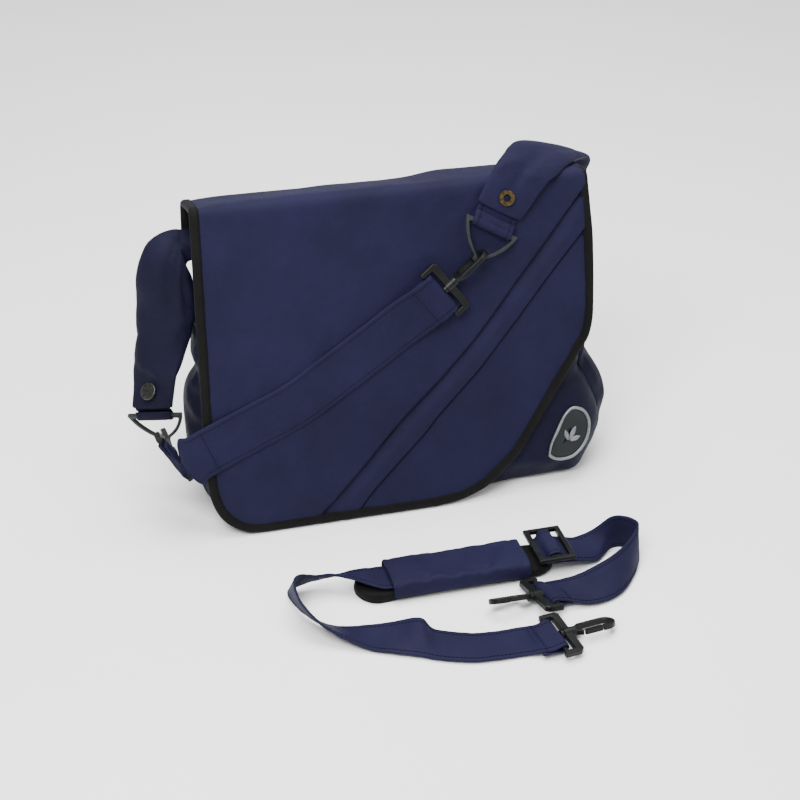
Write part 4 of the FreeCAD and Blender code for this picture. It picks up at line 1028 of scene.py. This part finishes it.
def make_pad():
    """Foam pad in a black cover, with a navy sleeve that the webbing runs through."""
    levels = [(0.5, 0.84), (1.2, 0.95), (3.0, 1.0), (6.5, 1.02), (9.5, 1.0), (11.2, 0.95), (12.0, 0.86),
              (12.2, 0.5)]
    rings = []
    outline = stadium(PAD_LENGTH, PAD_WIDTH, PAD_SIDES)
    for z, share in levels:
        inset = (1 - share) * PAD_WIDTH / 2
        spine = np.clip(outline[:, 0], -PAD_STRAIGHT, PAD_STRAIGHT)
        normal_in = outline - np.column_stack([spine, np.zeros(PAD_SIDES)])
        scaled = outline - normal_in / np.linalg.norm(normal_in, axis=1, keepdims=True) * inset
        rings.append(np.column_stack([scaled + np.array(PAD_AT), np.full(PAD_SIDES, z)]))
    pad = tube_object("pad_cover", np.array(rings))
    inflate(pad, 2.0, 12, 1.6, list(range(PAD_SIDES)))
    modify(pad, "SUBSURF", levels=1)
    finish_piece(pad, TAPE, "shoulder_pad", ("pad_base", "pad_core", "pad_binding"))

    rows, columns = 44, 30
    sleeve = []
    for i in range(rows):
        x = SLEEVE_START + SLEEVE_LENGTH * i / (rows - 1)
        ring = []
        for k in range(columns):
            t = k / (columns - 1)
            y = PAD_AT[1] + (t - 0.5) * (PAD_WIDTH + 2.5)
            edge = min(t, 1 - t)
            z = 5.5 + 11.5 * (1 - (1 - min(edge / 0.10, 1)) ** 2) ** 0.5
            z += 1.2 * math.sin(math.pi * t)
            z += 0.5 * ripple((x, y, 0), 18, 2.0) * min(edge * 8, 1)
            for hem in SLEEVE_HEMS:
                z -= 0.7 * math.exp(-((x - (SLEEVE_START + hem)) / 1.2) ** 2)
            ring.append((x, y, z))
        sleeve.append(ring)
    cover = grid_object("pad_sleeve_cloth", np.array(sleeve), np.array(sleeve)[:, :, :2])
    inflate(cover, 3.0, 12, 1.5, grid_rim(rows, columns), shrink=-0.03)
    thicken(cover, HEAVY_CLOTH)
    finish_piece(cover, NAVY, "shoulder_pad", ("pad_sleeve",))
    seams = [np.array([(SLEEVE_START + x, PAD_AT[1] + y, 17.6 + 1.0 * math.cos(y / 14))
                       for y in np.linspace(-18, 18, 12)]) for x in SLEEVE_HEMS]
    sew("pad_sleeve_stitches", seams, 3.4, 0.4, "shoulder_pad")


SLIDER_AT = (98.0, -189.0, 19.5)


def make_slider_loop():
    """Webbing doubled over the slider's middle bar."""
    x, y, z = SLIDER_AT
    half = STRAP_WIDTH / 2 - 0.5
    side = [(-15, -6.5), (-8.2, -4.5), (-6.0, 0.0), (-4.6, 2.9)]
    path = side + [(0, 3.7)] + [(-dx, dz) for dx, dz in side[::-1]]
    stations = [((x + dx, y - half, z + dz), (x + dx, y + half, z + dz)) for dx, dz in path]
    loop, rows, length = webbing("slider_webbing", stations, 1.6, 0.2, (4.2,), 3.3)
    finish_piece(loop, NAVY, "slider", ("slider_loop",))
    sew("slider_stitches", rows, 3.6, 0.34, "slider")


# ---------------------------------------------------------------- side pockets and small parts

POCKET_TOP = 196.0


def make_side_pocket(name, side, shell):
    """A gathered pouch on the gusset, swollen by simulation, with an elastic top hem."""
    rows, columns = 26, 30
    low, high = BASE_Z + 5, POCKET_TOP
    points = []
    for i in range(rows):
        z = low + (high - low) * i / (rows - 1)
        share, front = wall_at(z)
        front = front + 26 - 12 * share
        back = BACK - 14
        ring = []
        for k in range(columns):
            t = k / (columns - 1)
            y = front + (back - front) * t
            edge = min(t, 1 - t)
            outside = Vector((side * 0.4, y * METRE, z * METRE))
            hit, place, _, _ = shell.ray_cast(outside, Vector((-side, 0, 0)))
            wall = abs(place.x) / METRE if hit else BASE_HALF
            bulge = 8.0 * (1 - (1 - min(edge / 0.3, 1)) ** 2) ** 0.5
            bulge *= 0.3 + 0.7 * smoothstep(0, 0.35, i / (rows - 1))
            gather = 1.1 * math.sin(28 * t) * smoothstep(0.7, 1.0, i / (rows - 1)) * min(edge * 10, 1)
            ring.append((side * (wall + 0.4 + bulge + gather), y, z))
        points.append(ring)
    pocket = grid_object(name + "_cloth", np.array(points), np.array(points)[:, :, 1:])
    inflate(pocket, 3.0 * side, 14, 3.5, grid_rim(rows, columns), shrink=-0.06)
    thicken(pocket, HEAVY_CLOTH, -side)
    # Painted shade: the pockets get the darkened navy.
    finish_piece(pocket, NAVY_PAINTED_SHADE, "bag_body", (name,))
    hem = [points[-1][k] for k in range(columns)]
    stations = [(np.array(p) + [0, 0, -1], np.array(p) + [0, 0, 7]) for p in hem]
    tape, _, _ = webbing(name + "_hem", stations, 2.4, 0.4, (), 2.0, 7)
    finish_piece(tape, ELASTIC, "bag_body", (name + "_elastic",))


BADGE_EDGE = [(141.1, 32.8), (143.2, 43.7), (148.5, 55.1), (155.0, 67.6), (160.2, 75.3), (166.6, 80.5),
              (172.7, 80.9), (180.1, 77.4), (184.8, 70.7), (187.0, 61.9), (185.5, 49.9), (181.5, 40.7),
              (175.1, 33.1), (166.3, 27.5), (155.0, 26.3), (146.4, 28.5)]
BADGE_OUT = -6.2


def badge_ring(edge, middle, inset, out):
    """The badge's outline moved in by inset, at a height out of the flap's plane."""
    away = edge - middle
    reach = np.linalg.norm(away, axis=1, keepdims=True)
    moved = middle + away * (reach - inset) / reach
    return [on_flap(x, q, BADGE_OUT + out) for x, q in moved]


def make_badge():
    """Cast badge: raised rim, domed field and a generic three-leaf sprig in place of any mark."""
    edge = catmull(BADGE_EDGE + BADGE_EDGE[:1], 2.0)[:-1]
    middle = edge.mean(axis=0)
    rim = [badge_ring(edge, middle, inset, out) for inset, out in
           ((0.3, -0.4), (0.0, 0.6), (0.5, 1.5), (1.4, 1.9), (2.6, 1.8), (3.2, 1.2), (3.4, 0.4), (3.4, -0.4))]
    rim = np.array(rim).transpose(1, 0, 2)
    rim = tube_object("badge_rim_cast", rim, closed=True)
    finish_piece(rim, SILVER, "bag_body", ("badge_rim",))
    field = np.array([badge_ring(edge, middle, inset, out) for inset, out in
                      ((3.2, -0.4), (3.2, 0.5), (4.2, 0.9), (8.0, 1.5), (13.0, 1.9), (18.0, 2.0))])
    plate = tube_object("badge_field_cast", field)
    finish_piece(plate, ENAMEL, "bag_body", ("badge_plate",))

    lean = math.radians(62)
    along = unit(flap_direction(math.cos(lean), math.sin(lean)))
    across = unit(np.cross(OUT_OF_FLAP, along))
    centre = on_flap(middle[0] + 1, middle[1], BADGE_OUT + 2.0)
    verts, faces = [], []
    for turn, length in ((0, 15), (42, 11), (-42, 11)):
        a = math.radians(turn)
        axis = along * math.cos(a) + across * math.sin(a)
        wing = np.cross(OUT_OF_FLAP, axis)
        start = len(verts)
        for i in range(9):
            t = i / 8
            half = 2.3 * math.sin(math.pi * t) ** 0.8
            for w, h in ((-1, 0), (-0.5, 0.35), (0, 0.5), (0.5, 0.35), (1, 0)):
                verts.append(centre - along * 8 + axis * (2 + length * t) + wing * half * w + OUT_OF_FLAP * h)
        faces += grid_faces(9, 5, start=start)
    motif = make_mesh("badge_sprig", verts, faces, [(0, 0)] * len(verts))
    modify(motif, "SOLIDIFY", thickness=0.0004, offset=-1)
    finish_piece(motif, SILVER, "bag_body", ("badge_motif",))


def dress_cad_nodes():
    """Materials for the CAD pieces whose own shape stays."""
    looks = {
        PLASTIC: [n + k for n in ("left", "right", "near", "far") for k in ("_clip_base", "_hook", "_gate")]
        + ["strap_slider"],
        GREY_PLASTIC: ["left_ring", "right_ring"],
        TAPE: ["mouth_binding"],
        BRASS: ["right_snap"],
        GUNMETAL: ["left_snap"],
        NAP: ["closure_loop_patches", "closure_hook_patches"],
        LINING: ["inner_pocket"],
        ELASTIC: ["inner_pocket_elastic"],
        # Painted shade: the band anchor gets the darkened navy.
        NAVY_PAINTED_SHADE: ["right_band_anchor"],
    }
    for material, names in looks.items():
        for name in names:
            paint(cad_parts[name], material)


# ---------------------------------------------------------------- camera, floor and light

def make_camera():
    """Standing view from the left front, a little above the bag."""
    data = bpy.data.cameras.new("camera")
    data.lens = 78.75
    data.sensor_width = 36
    camera = bpy.data.objects.new("camera", data)
    heading, tilt, roll = math.radians(-16.64), math.radians(90 - 32), math.radians(1.433)
    turn = Matrix.Rotation(heading, 4, "Z") @ Matrix.Rotation(tilt, 4, "X") @ Matrix.Rotation(roll, 4, "Z")
    target, distance = Vector((-0.0132, -0.060, 0.118)), 1.6695
    camera.matrix_world = Matrix.Translation(target + turn.to_3x3() @ Vector((0, 0, distance))) @ turn
    bpy.context.scene.collection.objects.link(camera)
    bpy.context.scene.camera = camera


def make_studio():
    floor = make_mesh("floor", [(-4000, -4000, 0), (4000, -4000, 0), (4000, 4000, 0), (-4000, 4000, 0)],
                      [(0, 1, 2, 3)])
    material, tree, shader = new_material("floor", (0.86, 0.86, 0.86), 0.9)
    coords = node(tree, "ShaderNodeTexCoord").outputs["Object"]
    tree.links.new(mottle(tree, coords, ((0.84, 0.84, 0.84), (0.88, 0.88, 0.88)), 2.0),
                   shader.inputs["Base Color"])
    paint(floor, material)
    world = bpy.data.worlds.new("studio")
    world.use_nodes = True
    background = world.node_tree.nodes["Background"]
    background.inputs["Color"].default_value = (1, 1, 1, 1)
    background.inputs["Strength"].default_value = 0.85
    bpy.context.scene.world = world
    lamps = (("key", (-0.55, -0.75, 1.2), 0.6, 27), ("fill", (1.4, -1.2, 1.1), 1.2, 8),
             ("top", (0.1, 0.25, 2.0), 1.5, 70))
    for name, place, size, power in lamps:
        data = bpy.data.lights.new(name, "AREA")
        data.size = size
        data.energy = power
        lamp = bpy.data.objects.new(name, data)
        lamp.location = place
        aim = Vector((0, -0.03, 0.12)) - Vector(place)
        lamp.rotation_euler = aim.to_track_quat("-Z", "Y").to_euler()
        bpy.context.scene.collection.objects.link(lamp)


make_camera()
make_studio()
dress_cad_nodes()
bag_shell = make_bag_body()
make_flap()
make_front_strap()
make_bands()
make_shoulder_strap()
make_pad()
make_slider_loop()
make_side_pocket("left_side_pocket", -1, bag_shell)
make_side_pocket("right_side_pocket", 1, bag_shell)
make_badge()


def corners(bounds):
    return [[float(c) for c in corner] for corner in bounds]
